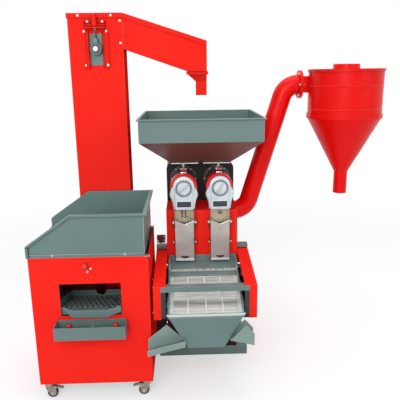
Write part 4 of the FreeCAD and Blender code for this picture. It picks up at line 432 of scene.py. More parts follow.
sheet_grey, deep_grey = (0.15, 0.235, 0.224), (0.134, 0.214, 0.202)
# The bin's painted shade reaches further into its corners.
bin_enamel = enamel("bin_enamel", sheet_grey, deep_grey, rubbed_grey, shine=grey_shine, shade_reach=0.02)
# A pale enamel on lips and folds: a painted highlight along them.
highlight_fold = enamel("highlight_fold", (0.36, 0.45, 0.43), (0.32, 0.4, 0.38), (0.5, 0.58, 0.56),
                   shine=grey_shine)
left, right, front, back = -0.855, -0.349, -0.356, 0.072
foot, top, sheet = 0.705, 0.898, 0.002
lip_right, lip_low, lip_front, lip_back, lip_sheet = -0.333, 0.888, -0.3655, 0.0815, 0.0018
slope_foot, slope_top = (left, 0.763), (-0.661, top)
wall = [(left, foot), (right, foot), (right, top), slope_top, slope_foot]
hem = [slope_foot, slope_top, (lip_right, top), (lip_right, lip_low), (-0.6585, lip_low), (left, 0.751)]
fold = [slope_foot, slope_top, (lip_right, top), (lip_right, top - sheet), (-0.6603, top - sheet),
        (left, 0.7606)]
bm = bmesh.new()
for outline, near, far in (
        (wall, front, front + sheet), (wall, back - sheet, back),
        (hem, lip_front, lip_front + lip_sheet), (hem, lip_back - lip_sheet, lip_back),
        (fold, lip_front + lip_sheet, front), (fold, back, lip_back - lip_sheet)):
    prism(bm, outline, near, far)
block(bm, (right - sheet, front + sheet, foot), (right, back - sheet, top))
block(bm, (right, front, top - sheet), (lip_right - sheet, back, top))
block(bm, (lip_right - sheet, lip_front + lip_sheet, lip_low), (lip_right, lip_back - lip_sheet, top))
block(bm, (left, front + sheet, foot), (left + sheet, back - sheet, 0.722))
for near, far in ((lip_front, lip_front + lip_sheet), (lip_back - lip_sheet, lip_back)):
    block(bm, (-0.8585, near, foot + sheet), (-0.8475, far, 0.757))
block(bm, (-0.8585, lip_front + lip_sheet, foot + sheet), (-0.8567, front + sheet, 0.76))
mouth_left, mouth_right, mouth_front, mouth_back = -0.707, -0.503, -0.209, -0.123
mouth = ((mouth_left, mouth_front), (mouth_right, mouth_back))
surround(bm, ((left + sheet, front + sheet), (right - sheet, back - sheet)), mouth, foot, foot + sheet)
surround(bm, ((mouth_left - sheet, mouth_front - sheet), (mouth_right + sheet, mouth_back + sheet)),
         mouth, 0.677, foot)
slide_x = (mouth_left + mouth_right) / 2
for side in (-1, 1):
    for inner, outer, above in ((0.1053, 0.1073, foot), (0.0973, 0.1053, 0.6734)):
        low, high = sorted((slide_x + side * inner, slide_x + side * outer))
        block(bm, (low, -0.301, 0.6694), (high, mouth_back + sheet, above))
form("feed_bin", bm, bin_enamel, "station", ("feed_hopper",))
# Pale strips along the front's foot and its right edge: painted highlights.
bm = bmesh.new()
block(bm, (-0.8465, -0.3585, 0.7185), (-0.3495, -0.356, 0.7215), 0.0006, 1)
block(bm, (-0.3512, -0.3572, 0.722), (-0.3482, -0.3556, 0.887), 0.0004, 1)
block(bm, (-0.352, -0.3645, 0.705), (-0.337, -0.356, 0.7078), 0.0006, 1)
form("feed_bin_highlight_folds", bm, highlight_fold, "station")
red_plastic = moulded("red_plastic", (0.85, 0.022, 0.016))
dress(grey_enamel, "feed_gate")
bm = bmesh.new()
ball_knob(bm, (slide_x, -0.388, 0.6757), 0.012)
form("feed_knob", bm, red_plastic, "feed_slide")

# The stone tray: an open grey box that hangs under the window on two red screw knobs, with
# one zinc screw through its back.
dress(grey_enamel, "stone_tray")
tray_knob_z = 0.3865
bm = bmesh.new()
for x in (-0.6985, -0.4905):
    ball_knob(bm, (x, -0.3705, tray_knob_z), 0.009)
    bar(bm, (x, -0.366, tray_knob_z), (x, -0.358, tray_knob_z), 0.0048, 20)
form("tray_ball_knobs", bm, red_plastic, "station", ("tray_knobs",))
bm = bmesh.new()
hex_head(bm, (-0.597, -0.358, 0.375), to_operator, 0.004, 0.0025)
form("tray_screw", bm, zinc, "station")

# The destoner deck behind the window: a grey shaking frame with a sheet bottom, and crossed
# steel wires over it that hold the stones back while the grain floats down.


def tilted(rise, height):
    """Matrix for a flat strip that slopes along Y: its rise for each metre, its height at Y 0."""
    return Matrix(((1, 0, 0, 0), (0, 1, 0, 0), (0, rise, 1, height), (0, 0, 0, 1)))


def block_at(bm, matrix, low, high, soft=0.0, rounds=2):
    """Rectangular bar that is made between two corners, and then moved by a matrix."""
    before = set(bm.verts)
    block(bm, low, high, soft, rounds)
    bmesh.ops.transform(bm, matrix=matrix, verts=added(bm, before))


def wires(bm, low, high, pitch, stretch, radius, drop, start_z, slant):
    """Crossed wires, clipped to a rectangle that falls away from the operator. They leave
    diamonds that are stretched along the fall."""
    (x0, y0), (x1, y1) = ((x, y / stretch) for x, y in (low, high))
    for side in (1, -1):
        base = x0 + y0 if side > 0 else x0 - y1
        end = x1 + y1 if side > 0 else x1 - y0
        count = int((end - base) / pitch)
        for step in range(1, count):
            level = base + step * pitch
            if side > 0:
                a = (max(x0, level - y1), min(y1, level - x0))
                b = (min(x1, level - y0), max(y0, level - x1))
            else:
                a = (max(x0, level + y0), max(y0, x0 - level))
                b = (min(x1, level + y1), min(y1, x1 - level))
            ends = [(x, y * stretch, start_z - (y * stretch - low[1]) * slant + drop * side)
                    for x, y in (a, b)]
            bar(bm, ends[0], ends[1], radius, 6)


deck_slant = 0.062 / 0.25
deck_front, deck_back = (-0.742, -0.340), (-0.448, -0.095)
floor_top, wire_top = 0.4588, 0.4598
deck_sheet = moulded("deck_sheet", (0.055, 0.062, 0.058), 0.5)
deck_wire = moulded("deck_wire", (0.44, 0.5, 0.48), 0.4)
dress(grey_enamel, "deck_frame")
bm = bmesh.new()
block_at(bm, tilted(-deck_slant, floor_top + deck_slant * deck_front[1]),
         (*deck_front, -0.002), (*deck_back, -0.0006))
form("deck_floor", bm, deck_sheet, "deck", ("deck_screen",))
bm = bmesh.new()
wires(bm, deck_front, deck_back, 0.024, 2.9, 0.0018, 0.0006, wire_top, deck_slant)
form("deck_wires", bm, deck_wire, "deck")

# The casters: pressed steel plates and forks, rubber tyres on turned hubs, and ribbed brake
# pedals on the front pair.
dark_steel = plated("dark_steel", (0.2, 0.19, 0.18), 0.34, 0.2)
pale_steel = plated("pale_steel", (0.56, 0.52, 0.47), 0.36, 0.15)
tyre_rubber = moulded("tyre_rubber", (0.035, 0.037, 0.034), 0.5)
dress(plated("fork_steel", (0.42, 0.38, 0.34), 0.34, 0.25), "caster_mounts", "front_caster_fork_left",
      "front_caster_fork_right")
pedal_paint = moulded("pedal_paint", (0.5, 0.46, 0.41), 0.4)
dress(pedal_paint, "front_caster_brake_left", "front_caster_brake_right")
tyre_half = [(0.0165, 0.0088), (0.0185, 0.0096), (0.0218, 0.0099), (0.024, 0.0084), (0.0249, 0.0055),
             (0.0249, 0.001)]
hub_half = [(0.0042, 0.0098), (0.0075, 0.0098), (0.0083, 0.0072), (0.0142, 0.0066), (0.0154, 0.0086),
            (0.0164, 0.0088)]


def both_faces(half, middle=()):
    """Closed outline of a wheel that is alike on both faces, from the half on one of them."""
    far = [(radius, -height) for radius, height in half]
    return far + list(middle) + half[::-1] + far[:1]


tyre, hub = both_faces(tyre_half, [(0.0243, 0.0)]), both_faces(hub_half)
axle_z = 0.025
front_x, rear_x = {"left": -0.809, "right": -0.381}, {"left": -0.823, "right": -0.367}
for end, places, y, axis in (("front", front_x, -0.324, (0, 1, 0)), ("rear", rear_x, 0.052, (1, 0, 0))):
    for side, x in places.items():
        body = f"{end}_wheel_{side}"
        bm = bmesh.new()
        turned(bm, tyre, (x, y, axle_z), axis, 48)
        form(f"{end}_{side}_tyre", bm, tyre_rubber, body, (f"{end}_caster_wheel_{side}",))
        bm = bmesh.new()
        turned(bm, hub, (x, y, axle_z), axis, 40)
        form(f"{end}_{side}_hub", bm, pale_steel, body)
for side, x in front_x.items():
    bm = bmesh.new()
    hex_head(bm, (x, -0.3375, axle_z), to_operator, 0.0048, 0.0036)
    hex_head(bm, (x, -0.3105, axle_z), (0, 1, 0), 0.0048, 0.0036)
    form(f"axle_screw_{side}", bm, zinc, f"fork_{side}")
pedal_slope = 9 / 38
for side, hinge, out in (("left", -0.797, 1), ("right", -0.393, -1)):
    bm = bmesh.new()
    for step in range(5):
        reach = 0.012 + 0.0055 * step
        x, z = hinge + out * reach, 0.0568 - reach * pedal_slope
        bar(bm, (x, -0.3335, z), (x, -0.3145, z), 0.0014, 10)
    form(f"pedal_ribs_{side}", bm, pedal_paint, f"brake_{side}")

# The elevator: a tall red box column with its lid, and the take-up in its front, where a
# threaded rod lifts the head bearing between two red rails.
shaft_x, head_shaft_z, boot_shaft_z = -0.5755, 1.588, 0.18
dress(red_enamel, "elevator_column", "elevator_top_cover")
# The rails' enamel has deeper painted shade where they meet the column.
rail_enamel = enamel("rail_enamel", red, deep_red, (1.0, 0.1, 0.07), red_matt, shine=0.0, shade_reach=0.03)
dress(rail_enamel, "takeup_rails")
dress(grey_enamel, "takeup_blocks")
# Thin dark red bars along the rails' edges and round the bracket: painted shadow lines.
shadow_line_red = enamel("shadow_line_red", (0.4, 0.004, 0.003), (0.34, 0.003, 0.002), (0.6, 0.01, 0.008), shine=0.0)
rail_front, rail_foot, rail_top = 0.0598, 1.5025, 1.672
bm = bmesh.new()
for x, thick in ((-0.6205, 0.0009), (-0.6045, 0.0021), (-0.5395, 0.0019), (-0.5145, 0.0009)):
    bar(bm, (x, rail_front, rail_foot), (x, rail_front, rail_top), thick, 6)
form("rail_shadow_lines", bm, shadow_line_red, "station")
shelf_left, shelf_right, shelf_foot, shelf_top = -0.6225, -0.5285, 1.681, 1.6865
neck_foot, neck_top, column_front, sheet = 1.69, 1.74, 0.082, 0.002
bm = bmesh.new()
block(bm, (-0.5855, 0.058, neck_foot), (-0.5665, rail_front, neck_top), 0.0005, 1)
for x in (-0.5855, -0.5685):
    block(bm, (x, rail_front, neck_foot), (x + sheet, column_front, neck_top))
block(bm, (shelf_left, 0.0555, shelf_foot), (shelf_right, 0.0652, shelf_top), 0.0008, 1)
for x in (shelf_left, shelf_right - sheet):
    block(bm, (x, 0.0585, shelf_top), (x + sheet, column_front, 1.713), 0.0005, 1)
form("takeup_bracket", bm, rail_enamel, "station")
edge = 0.0016
bm = bmesh.new()
block(bm, (shelf_left, 0.056, 1.679), (shelf_right, 0.0575, shelf_foot))
for x in (-0.587, -0.5668):
    block(bm, (x, 0.0575, neck_foot), (x + edge, rail_front, neck_top))
for x in (-0.624, -0.5285):
    block(bm, (x, 0.058, shelf_top), (x + edge, rail_front, 1.716))
form("bracket_shadow_lines", bm, shadow_line_red, "station")
# Dark rings round the shaft end: the inner one is painted shadow, the outer one a thin dark line round
# the boss.
shadow_ring = enamel("shadow_ring", (0.035, 0.045, 0.045), (0.03, 0.038, 0.038), (0.1, 0.12, 0.12))
bm = bmesh.new()
for ring in ([(0.013, 0.0), (0.013, -0.0012), (0.0185, -0.0008), (0.0185, 0.0), (0.013, 0.0)],
             [(0.0242, 0.0), (0.0242, -0.0009), (0.0254, -0.0009), (0.0254, 0.0), (0.0242, 0.0)]):
    turned(bm, ring, (shaft_x, 0.0628, head_shaft_z), (0, 1, 0), 48)
form("bearing_shadow_rings", bm, shadow_ring, "takeup")
bright_steel = plated("bright_steel", (0.8, 0.8, 0.79), 0.22, 0.08)
bm = bmesh.new()
turned(bm, [(0.0, -0.003), (0.0035, -0.003), (0.0045, -0.0022), (0.0078, -0.002), (0.0092, -0.0008),
            (0.0098, 0.002), (0.0, 0.002)], (shaft_x, 0.0578, head_shaft_z), (0, 1, 0), 36)
form("shaft_end", bm, bright_steel, "head_drum")
bm = bmesh.new()
rod_y, thread_foot, thread_pitch = 0.0705, 1.641, 0.0016
thread = [(0.0, thread_foot)]
for step in range(44):
    crest = thread_foot + thread_pitch * step
    thread += [(0.0044, crest), (0.0038, crest + thread_pitch / 2)]
thread += [(0.0, thread[-1][1])]
turned(bm, thread, (shaft_x, rod_y, 0.0), (0, 0, 1), 20)
form("takeup_thread", bm, dark_steel, "takeup")
bm = bmesh.new()
bar(bm, (shaft_x, rod_y, 1.6745), (shaft_x, rod_y, 1.6805), 0.0062, 6)
form("takeup_nut", bm, pale_steel, "station")

# Inside the column: a rubber belt with moulded buckets over two steel drums. Its upper bend
# moves with the take-up, and laps on the runs below.


belt_front, belt_back = 0.108, 0.198
belt_inner, belt_outer = 0.0603, 0.0633


def bend(bm, height, over):
    """Half turn of the belt round a drum, over it or under it."""
    turns = [math.radians(step * 6) * over for step in range(31)]
    outer, inner = ([(shaft_x + radius * math.cos(turn), height + radius * math.sin(turn))
                     for turn in turns] for radius in (belt_outer, belt_inner))
    for step in range(30):
        prism(bm, [outer[step], outer[step + 1], inner[step + 1], inner[step]], belt_front, belt_back)
    bmesh.ops.remove_doubles(bm, verts=bm.verts, dist=1e-6)


def runs(bm, inner, outer, foot, top):
    """Straight lengths of the belt on both sides of the drums."""
    for side in (-1, 1):
        low, high = sorted((shaft_x + side * inner, shaft_x + side * outer))
        block(bm, (low, belt_front, foot), (high, belt_back, top))


belt_rubber = moulded("belt_rubber", (0.045, 0.042, 0.04), 0.6)
dress(belt_rubber, "drive_belts")
dress(plated("drum_steel", (0.5, 0.5, 0.5), 0.32), "head_pulley", "boot_pulley")
bm = bmesh.new()
bend(bm, head_shaft_z, 1)
runs(bm, belt_inner, 0.0616, 1.517, head_shaft_z)
form("belt_bend", bm, belt_rubber, "takeup")
rising = ([(-0.6388, 0.0), (-0.6598, 0.004), (-0.6808, 0.05), (-0.6388, 0.05)],
          [(-0.6784, 0.05), (-0.6584, 0.0062), (-0.6388, 0.0022)])
falling = ([(-0.5122, 0.05), (-0.4912, 0.046), (-0.4702, 0.0), (-0.5122, 0.0)],
           [(-0.4726, 0.0), (-0.4926, 0.0438), (-0.5122, 0.0478)])
cheek = 0.002
bm = bmesh.new()
bend(bm, boot_shaft_z, -1)
runs(bm, belt_inner, belt_outer, boot_shaft_z, 1.5)
runs(bm, 0.0618, belt_outer, 1.5, 1.571)
for step in range(9):
    foot = 0.22 + 0.1498 * step
    for outside, inside in (rising, falling):
        prism(bm, [(x, foot + z) for x, z in outside[:3] + inside], belt_front + cheek,
              belt_back - cheek)
        for y in (belt_front, belt_back - cheek):
            prism(bm, [(x, foot + z) for x, z in outside], y, y + cheek)
form("belt_and_buckets", bm, belt_rubber, "station", ("bucket_belt",))

# The delivery arm and its flanged spout: red sheet, welded to the elevator's head and open
# inside from there down to the main hopper.
dress(red_enamel, "elevator_head_chute", "elevator_spout")

# The mill's base and stand: a welded channel ring in grey, and a tall box of folded red sheet
# that stands on it and hides the motor and the blower.
dress(grey_enamel, "mill_base_frame")
# Painted shade: inside the stand, in its lower part, the red turns near-black.
stand_inside_shade = ((-0.2645, -0.0085, 0.04), (0.0905, 0.3695, 0.37), (0.05, 0.025, 0.022))
stand_enamel = enamel("stand_enamel", red, deep_red, rubbed_red, red_matt, shine=0.0,
                      patch=stand_inside_shade)
dress(stand_enamel, "mill_housing")
dress(red_enamel, "belt_guard")
black_enamel = enamel("black_enamel", (0.028, 0.026, 0.025), (0.022, 0.02, 0.02), (0.1, 0.095, 0.09), 0.4)
dress(black_enamel, "mill_hood", "blower_housing", "motor")
dress(plated("turned_steel", (0.5, 0.5, 0.5), 0.3), "mill_rotor_left", "mill_rotor_right",
      "motor_pulley", "blower_impeller")

# The main hopper over the heads: grey sheet with a pale bar along its folded rim, a painted highlight,
# and reddish
#  where it looks down, a painted reflection of the red stand under it. Slide plates with a red grip in a
#  grey clip close its two outlets.
hopper_enamel = enamel("hopper_enamel", (0.163, 0.245, 0.236), (0.148, 0.225, 0.215),
                       (0.38, 0.48, 0.46), shine=grey_shine, under=(0.19, 0.062, 0.054))
dress(hopper_enamel, "main_hopper")
rim_z = 1.2682
corners = [(-0.3818, 0.4332), (-0.3818, -0.1268), (0.2078, -0.1268), (0.2078, 0.4332)]
# A pale bar along the rim's fold: a painted highlight.
bm = bmesh.new()
for start, end in zip(corners, corners[1:]):
    bar(bm, (*start, rim_z), (*end, rim_z), 0.0016, 8)
form("hopper_rim_highlight_fold", bm, highlight_fold, "station")
bright_edge = plated("bright_edge", (0.9, 0.9, 0.87), 0.3, 0.05)
grip_clip = plated("grip_clip", (0.3, 0.28, 0.27), 0.35)
for side, x in barrel_x.items():
    plate_x = x + (0.008 if side == "left" else -0.008)
    low, high = plate_x - 0.069, plate_x + 0.069
    bm = bmesh.new()
    block(bm, (low, 0.066, 1.0328), (high, 0.194, 1.0348), 0.0006, 1)
    block(bm, (low, 0.0645, 1.0318), (high, 0.0665, 1.0352), 0.0006, 1)
    form(f"gate_plate_{side}", bm, bright_edge, f"gate_{side}", (f"hopper_gate_{side}",))
    bm = bmesh.new()
    block(bm, (x - 0.006, 0.058, 1.006), (x + 0.006, 0.0645, 1.034), 0.0015)
    block(bm, (x - 0.0175, 0.047, 0.9995), (x + 0.0175, 0.062, 1.0135), 0.003, 3)
    form(f"gate_clip_{side}", bm, grip_clip, f"gate_{side}")
    bm = bmesh.new()
    block(bm, (x - 0.0068, 0.0425, 1.0005), (x + 0.0068, 0.05, 1.0125), 0.0022, 3)
    form(f"gate_grip_{side}", bm, red_plastic, f"gate_{side}")

# The milling heads: dark cast barrels bolted to the hood, each with a red ring in front that
# holds the dial cover.


def cast(name, colour, roughness, grain=0.0006):
    """Painted casting: sand grain under the paint, with uneven tone and shine."""
    skin = Finish(name, colour, roughness)
    deep = tuple(part * 0.86 for part in colour)
    skin.colour(skin.blend(skin.between(skin.noise(22.0, 4.0), 0.35, 0.65), colour, deep))
    skin.rough(skin.between(skin.noise(75.0, 4.0), 0.3, 0.7, roughness - 0.06, roughness + 0.14))
    skin.edges(0.0012)
    skin.bump(skin.noise(260.0, 4.0), grain, 0.4)
    return skin.material


dark_casting = cast("dark_casting", (0.05, 0.047, 0.045), 0.42)
red_casting = cast("red_casting", (0.86, 0.012, 0.008), 0.34, 0.0003)
silver_casting = cast("silver_casting", (0.68, 0.77, 0.82), 0.36)
silver_casting.node_tree.nodes["Principled BSDF"].inputs["Metallic"].default_value = 0.25
dress(red_casting, "mill_noses")
barrel = [(0.0475, 0.156), (0.054, 0.156), (0.054, 0.012), (0.0565, 0.0075), (0.0695, 0.0005),
          (0.0695, -0.0115), (0.0475, -0.0115), (0.0475, 0.156)]
end_wall = [(0.0, -0.0085), (0.0475, -0.0085), (0.0475, -0.0115), (0.0, -0.0115), (0.0, -0.0085)]
flange_rim = [(0.0676, 0.0), (0.0676, 0.0012), (0.0692, 0.0012), (0.0703, 0.0004), (0.0703, -0.0014),
              (0.0676, 0.0)]
bm = bmesh.new()
for x in barrel_x.values():
    turned(bm, barrel, (x, flange_y, barrel_z), to_operator, 72)
    turned(bm, end_wall, (x, flange_y, barrel_z), to_operator, 48)
    block(bm, (x - 0.05, 0.2045, 0.96), (x + 0.05, 0.24, 1.029), 0.003)
form("barrel_castings", bm, dark_casting, "station", ("mill_barrels",))
worn_casting = cast("worn_casting", (0.2, 0.18, 0.15), 0.4)
bm = bmesh.new()
for x in barrel_x.values():
    turned(bm, flange_rim, (x, flange_y - 0.0015, barrel_z), to_operator, 72)
form("flange_rims", bm, worn_casting, "station")
bm = bmesh.new()
for x in barrel_x.values():
    block(bm, (x - 0.0145, 0.014, 0.9925), (x + 0.0145, 0.034, 0.9985), 0.0012)
form("nose_seats", bm, bright_edge, "station")

# The dial covers: silver painted castings. A round head runs into a flat raised face over the
# chute, between two rounded wings set back. A ring carries the marks, and a dark plate is bare.
wing_half = [(0.0, 0.046), (0.024, 0.04), (0.038, 0.03), (0.0458, 0.02), (0.051, 0.0115),
             (0.0575, 0.001), (0.0638, -0.0105), (0.0682, -0.0225), (0.0695, -0.033), (0.067, -0.044),
             (0.0625, -0.054), (0.0588, -0.064), (0.0562, -0.076), (0.0542, -0.09), (0.053, -0.1058)]
head_half = [(0.0515 * math.sin(math.radians(turn)), 0.0085 + 0.0515 * math.cos(math.radians(turn)))
             for turn in range(0, 111, 10)]
face_half = head_half + [(0.0448, -0.019), (0.0445, -0.03), (0.0445, -0.1058)]
face_y, back_y, dial_z = -0.054, -0.0245, 0.933


def slab(bm, half, middle, front, back, soft):
    """Upright plate from half an outline, mirrored about its middle, with its front rim rounded."""
    outline = half + [(-x, z) for x, z in reversed(half[1:])]
    plate = prism(bm, [(middle + x, barrel_z + z) for x, z in outline], front, back)
    soften(bm, plate.edges, soft, 4)


mark_black = moulded("mark_black", (0.014, 0.018, 0.022), 0.4)
plate_blue = moulded("plate_blue", (0.024, 0.036, 0.05), 0.4)
silver_edge = cast("silver_edge", (0.82, 0.88, 0.9), 0.3)
dial_ring = [(0.0306, 0.0), (0.0306, 0.0042), (0.0316, 0.0048), (0.0412, 0.0048), (0.0422, 0.0042),
             (0.0436, 0.0)]
mark_count, plate_half, plate_low, plate_high = 28, 0.0345, 0.8385, 0.8665
margin = 0.003
for side, middle in barrel_x.items():
    bm = bmesh.new()
    slab(bm, wing_half, middle, -0.045, back_y, 0.008)
    slab(bm, face_half, middle, face_y, -0.04, 0.0035)
    turned(bm, dial_ring, (middle, face_y, dial_z), to_operator, 64)
    turned(bm, [(0.0, 0.0034), (0.0306, 0.0034)], (middle, face_y, dial_z), to_operator, 64)
    form(f"cover_casting_{side}", bm, silver_casting, "station", (f"dial_cover_{side}",))
    bm = bmesh.new()
    for step in range(mark_count):
        turn = Matrix.Rotation(2 * math.pi * step / mark_count, 4, "Y")
        block_at(bm, Matrix.Translation((middle, 0, dial_z)) @ turn,
                 (-0.0028, face_y - 0.0056, 0.0322), (0.0028, face_y - 0.0044, 0.0412), 0.0004, 1)
    form(f"dial_marks_{side}", bm, mark_black, "station")
    bm = bmesh.new()
    block(bm, (middle - plate_half, face_y - 0.0012, plate_low),
          (middle + plate_half, face_y + 0.001, plate_high), 0.0018, 4)
    form(f"bare_plate_{side}", bm, plate_blue, "station")
    bm = bmesh.new()
    block(bm, (middle - plate_half - margin, face_y - 0.0006, plate_low - margin),
          (middle + plate_half + margin, face_y + 0.001, plate_high + margin), 0.0025, 4)
    form(f"plate_edge_{side}", bm, silver_edge, "station")

# The pressure dials: moulded white discs, each on a pin in the middle of its cover, with a
# slanting grey grip bar across it.
dial_white = moulded("dial_white", (0.78, 0.84, 0.86), 0.28)
grip_grey = moulded("grip_grey", (0.6, 0.66, 0.68), 0.32)
disc = [(0.0, 0.0045), (0.0255, 0.0045), (0.0275, 0.0041), (0.0286, 0.0044), (0.0297, 0.0036),
        (0.03, 0.001), (0.03, 0.0004), (0.0, 0.0004)]
for side, body, slant in (("left", "dial_l", 43), ("right", "dial_r", 61)):
    middle = barrel_x[side]
    bm = bmesh.new()
    turned(bm, disc, (middle, -0.059, dial_z), to_operator, 64)
    form(f"dial_disc_{side}", bm, dial_white, body, (f"dial_{side}",))
    bm = bmesh.new()
    turn = Matrix.Rotation(-math.radians(slant), 4, "Y")
    block_at(bm, Matrix.Translation((middle, 0, dial_z)) @ turn,
             (-0.0268, -0.0681, -0.0062), (0.0268, -0.063, 0.0062), 0.0026, 2)
    form(f"dial_grip_{side}", bm, grip_grey, body)
    bm = bmesh.new()
    turned(bm, [(0.0, 0.0003), (0.0018, 0.0002), (0.0022, -0.0004), (0.0022, -0.002)],
           (middle, -0.0681, dial_z), to_operator, 20)
    form(f"dial_pin_{side}", bm, mark_black, body)

# The chutes: folded stainless channels from the covers to the sieve, brushed along their
# length, each hung on a dark bracket by zinc screws. Two rods stand in the left one's mouth.
brushed = Finish("brushed_stainless", (0.5, 0.46, 0.42), 0.3, 1.0)
streak = brushed.between(brushed.noise(90.0, 5.0, (6, 6, 0.15)), 0.3, 0.7)
smear = brushed.between(brushed.noise(14.0, 4.0), 0.35, 0.7)
metal = brushed.blend(smear, (0.5, 0.45, 0.42), (0.38, 0.34, 0.31))
metal = brushed.blend(brushed.part_of("Z", 0.67, 0.6), metal, (0.5, 0.42, 0.4))
meal = brushed.times(brushed.part_of("Z", 0.742, 0.76), brushed.part_of("Y", -0.047, -0.04))
brushed.colour(brushed.blend(meal, metal, (0.52, 0.44, 0.3)))
brushed.rough(brushed.between(streak, 0.0, 1.0, 0.24, 0.44))
brushed.edges(0.0008)
brushed.bump(streak, 0.0002, 0.35)
brushed.join(brushed.between(meal, 0.0, 1.0, 1.0, 0.2), brushed.shader.inputs["Metallic"])
brushed = brushed.material
chute_half, chute_front, chute_back = 0.0475, -0.05, -0.02
chute_foot, chute_top, mouth_side, mouth_middle, sheet = 0.5585, 0.8236, 0.7672, 0.7472, 0.0012
bm = bmesh.new()
for middle in barrel_x.values():
    left, right = middle - chute_half, middle + chute_half
    prism(bm, [(left, chute_foot), (left, mouth_side), (middle, mouth_middle), (right, mouth_side),
               (right, chute_foot)], chute_front, chute_front + sheet)
    block(bm, (left, chute_back - sheet, chute_foot), (right, chute_back, chute_top))
    for x in (left, right - sheet):
        block(bm, (x, chute_front, chute_foot), (x + sheet, chute_back, chute_top))
form("chute_channels", bm, brushed, "station", ("discharge_chutes",))
dark_tab = plated("dark_tab", (0.16, 0.11, 0.09), 0.4)
tab_front, tab_back = -0.040, -0.018
notch_top, notch_half, notch_depth = 0.5855, 0.0215, 0.0135
for side, middle in barrel_x.items():
    bm = bmesh.new()
    for x in (middle - 0.0515, middle + 0.0515):
        block(bm, (x - 0.0045, tab_front, 0.728), (x + 0.0045, tab_back, 0.777), 0.003)
        block(bm, (x - 0.0035, tab_front, 0.644), (x + 0.0035, tab_back, 0.664), 0.0015)
    form(f"chute_tabs_{side}", bm, dark_tab, "station")
    bm = bmesh.new()
    for x in (middle - 0.0535, middle + 0.0535):
        hex_head(bm, (x, tab_front, 0.7566), to_operator, 0.005, 0.0035)
        hex_head(bm, (x, tab_front, 0.654), to_operator, 0.0034, 0.003)
    form(f"chute_screws_{side}", bm, zinc, "station")
    bm = bmesh.new()
    for x in (middle - 0.0455, middle + 0.0455):
        bar(bm, (x, -0.0502, 0.7664), (middle, -0.0502, mouth_middle), 0.0016, 8)
    block(bm, (middle - 0.0468, -0.0512, 0.5588), (middle + 0.0468, -0.0495, 0.5705), 0.0008, 1)
    form(f"chute_hem_{side}", bm, bright_edge, "station")
    bm = bmesh.new()
    notch = [(middle - notch_half, notch_top), (middle + notch_half, notch_top)]
    for degrees in range(20, 161, 20):
        turn = math.radians(degrees)
        notch.append((middle + notch_half * math.cos(turn), notch_top - notch_depth * math.sin(turn)))
    prism(bm, notch, -0.0515, -0.0495)
    form(f"chute_notch_{side}", bm, tyre_rubber, "station")
mouth_y = -0.038
bm = bmesh.new()
for x in (-0.187, -0.169):
    for foot, top, radius in ((0.786, chute_top, 0.0024), (0.783, 0.789, 0.0045),
                              (0.803, chute_top, 0.0034)):
        bar(bm, (x, mouth_y, foot), (x, mouth_y, top), radius, 14)
bar(bm, (-0.1655, -0.046, 0.7925), (-0.1335, -0.046, 0.777), 0.0016, 10)
form("chute_rods", bm, dark_steel, "station")
bm = bmesh.new()
for x in (-0.004, 0.006):
    bar(bm, (x, mouth_y, 0.797), (x, mouth_y, 0.81), 0.0032, 14)
form("chute_stops", bm, dark_tab, "station")

# The sieve's cradle: two folded red arms on the stand, near-black plates below and behind them that are
# painted shade,
#  grey caps, and the bar across the front on its legs, painted dark as shade.
dress(red_enamel, "sieve_arm_left", "sieve_arm_right")
# Painted shade: the bar's legs, under its top, are near-black.
bar_leg_shade = ((-0.4, -0.44, 0.3), (0.2, 0.1, 0.5255), (0.042, 0.036, 0.038))
bar_enamel = enamel("bar_enamel", sheet_grey, deep_grey, rubbed_grey, shine=grey_shine, patch=bar_leg_shade)
dress(bar_enamel, "sieve_cross_bar")
# Near-black plates under and behind the arms, put where there is shade: painted shade.
shadow_plate_enamel = enamel("shadow_plate_enamel", (0.034, 0.029, 0.031), (0.028, 0.024, 0.026),
                      (0.09, 0.08, 0.08), 0.5)
pan_rise, pan_front, pan_front_z = 0.262, -0.338, 0.3895
bm = bmesh.new()
for low, high in ((-0.3185, -0.2588), (0.0848, 0.1445)):
    block_at(bm, tilted(pan_rise, pan_front_z - pan_rise * pan_front),
             (low, pan_front, 0.0), (high, 0.056, 0.0015))
block(bm, (-0.334, 0.05, 0.105), (-0.2665, 0.052, 0.49))
block(bm, (0.0925, 0.05, 0.27), (0.1445, 0.052, 0.49))
form("arm_pans", bm, shadow_plate_enamel, "station")
bracket_brown = cast("bracket_brown", (0.075, 0.012, 0.01), 0.45)
bm = bmesh.new()
block(bm, (-0.3185, 0.03, 0.628), (-0.2745, 0.05, 0.668), 0.005, 3)
turned(bm, [(0.0, 0.004), (0.007, 0.004), (0.0085, 0.0025), (0.0085, 0.0), (0.0, 0.0)],
       (-0.2965, 0.03, 0.636), to_operator, 32)
form("stand_lug", bm, bracket_brown, "station")
bm = bmesh.new()
for x, z in ((-0.3125, 0.6402), (-0.2802, 0.6605), (-0.2807, 0.6426)):
    hex_head(bm, (x, 0.03, z), to_operator, 0.0036, 0.003)
form("stand_lug_screws", bm, zinc, "station")

# The springs: four coils of bright steel wire that stand on the two arms and carry the sieve
# by its ears.
wire, coil, turns, height, steps = 0.0021, 0.0126, 6, 0.0436, 120
bm = bmesh.new()
for x in (-0.287, 0.113):
    for y, low in ((-0.320, 0.4008), (-0.060, 0.4827)):
        before = set(bm.verts)
        ring = bmesh.ops.create_circle(bm, segments=10, radius=wire)["verts"]
        bmesh.ops.transform(bm, verts=ring, matrix=Matrix.Translation((coil, 0, wire))
                            @ Matrix.Rotation(math.pi / 2, 4, "X"))
        edges = list({edge for vert in ring for edge in vert.link_edges})
        bmesh.ops.spin(bm, geom=ring + edges, cent=(0, 0, 0), axis=(0, 0, 1), steps=steps,
                       dvec=(0, 0, height / steps), angle=2 * math.pi * turns)
        bmesh.ops.translate(bm, vec=(x, y, low), verts=added(bm, before))
bmesh.ops.holes_fill(bm, edges=[edge for edge in bm.edges if edge.is_boundary], sides=12)
form("coil_springs", bm, bright_steel, "station", ("sieve_springs",))
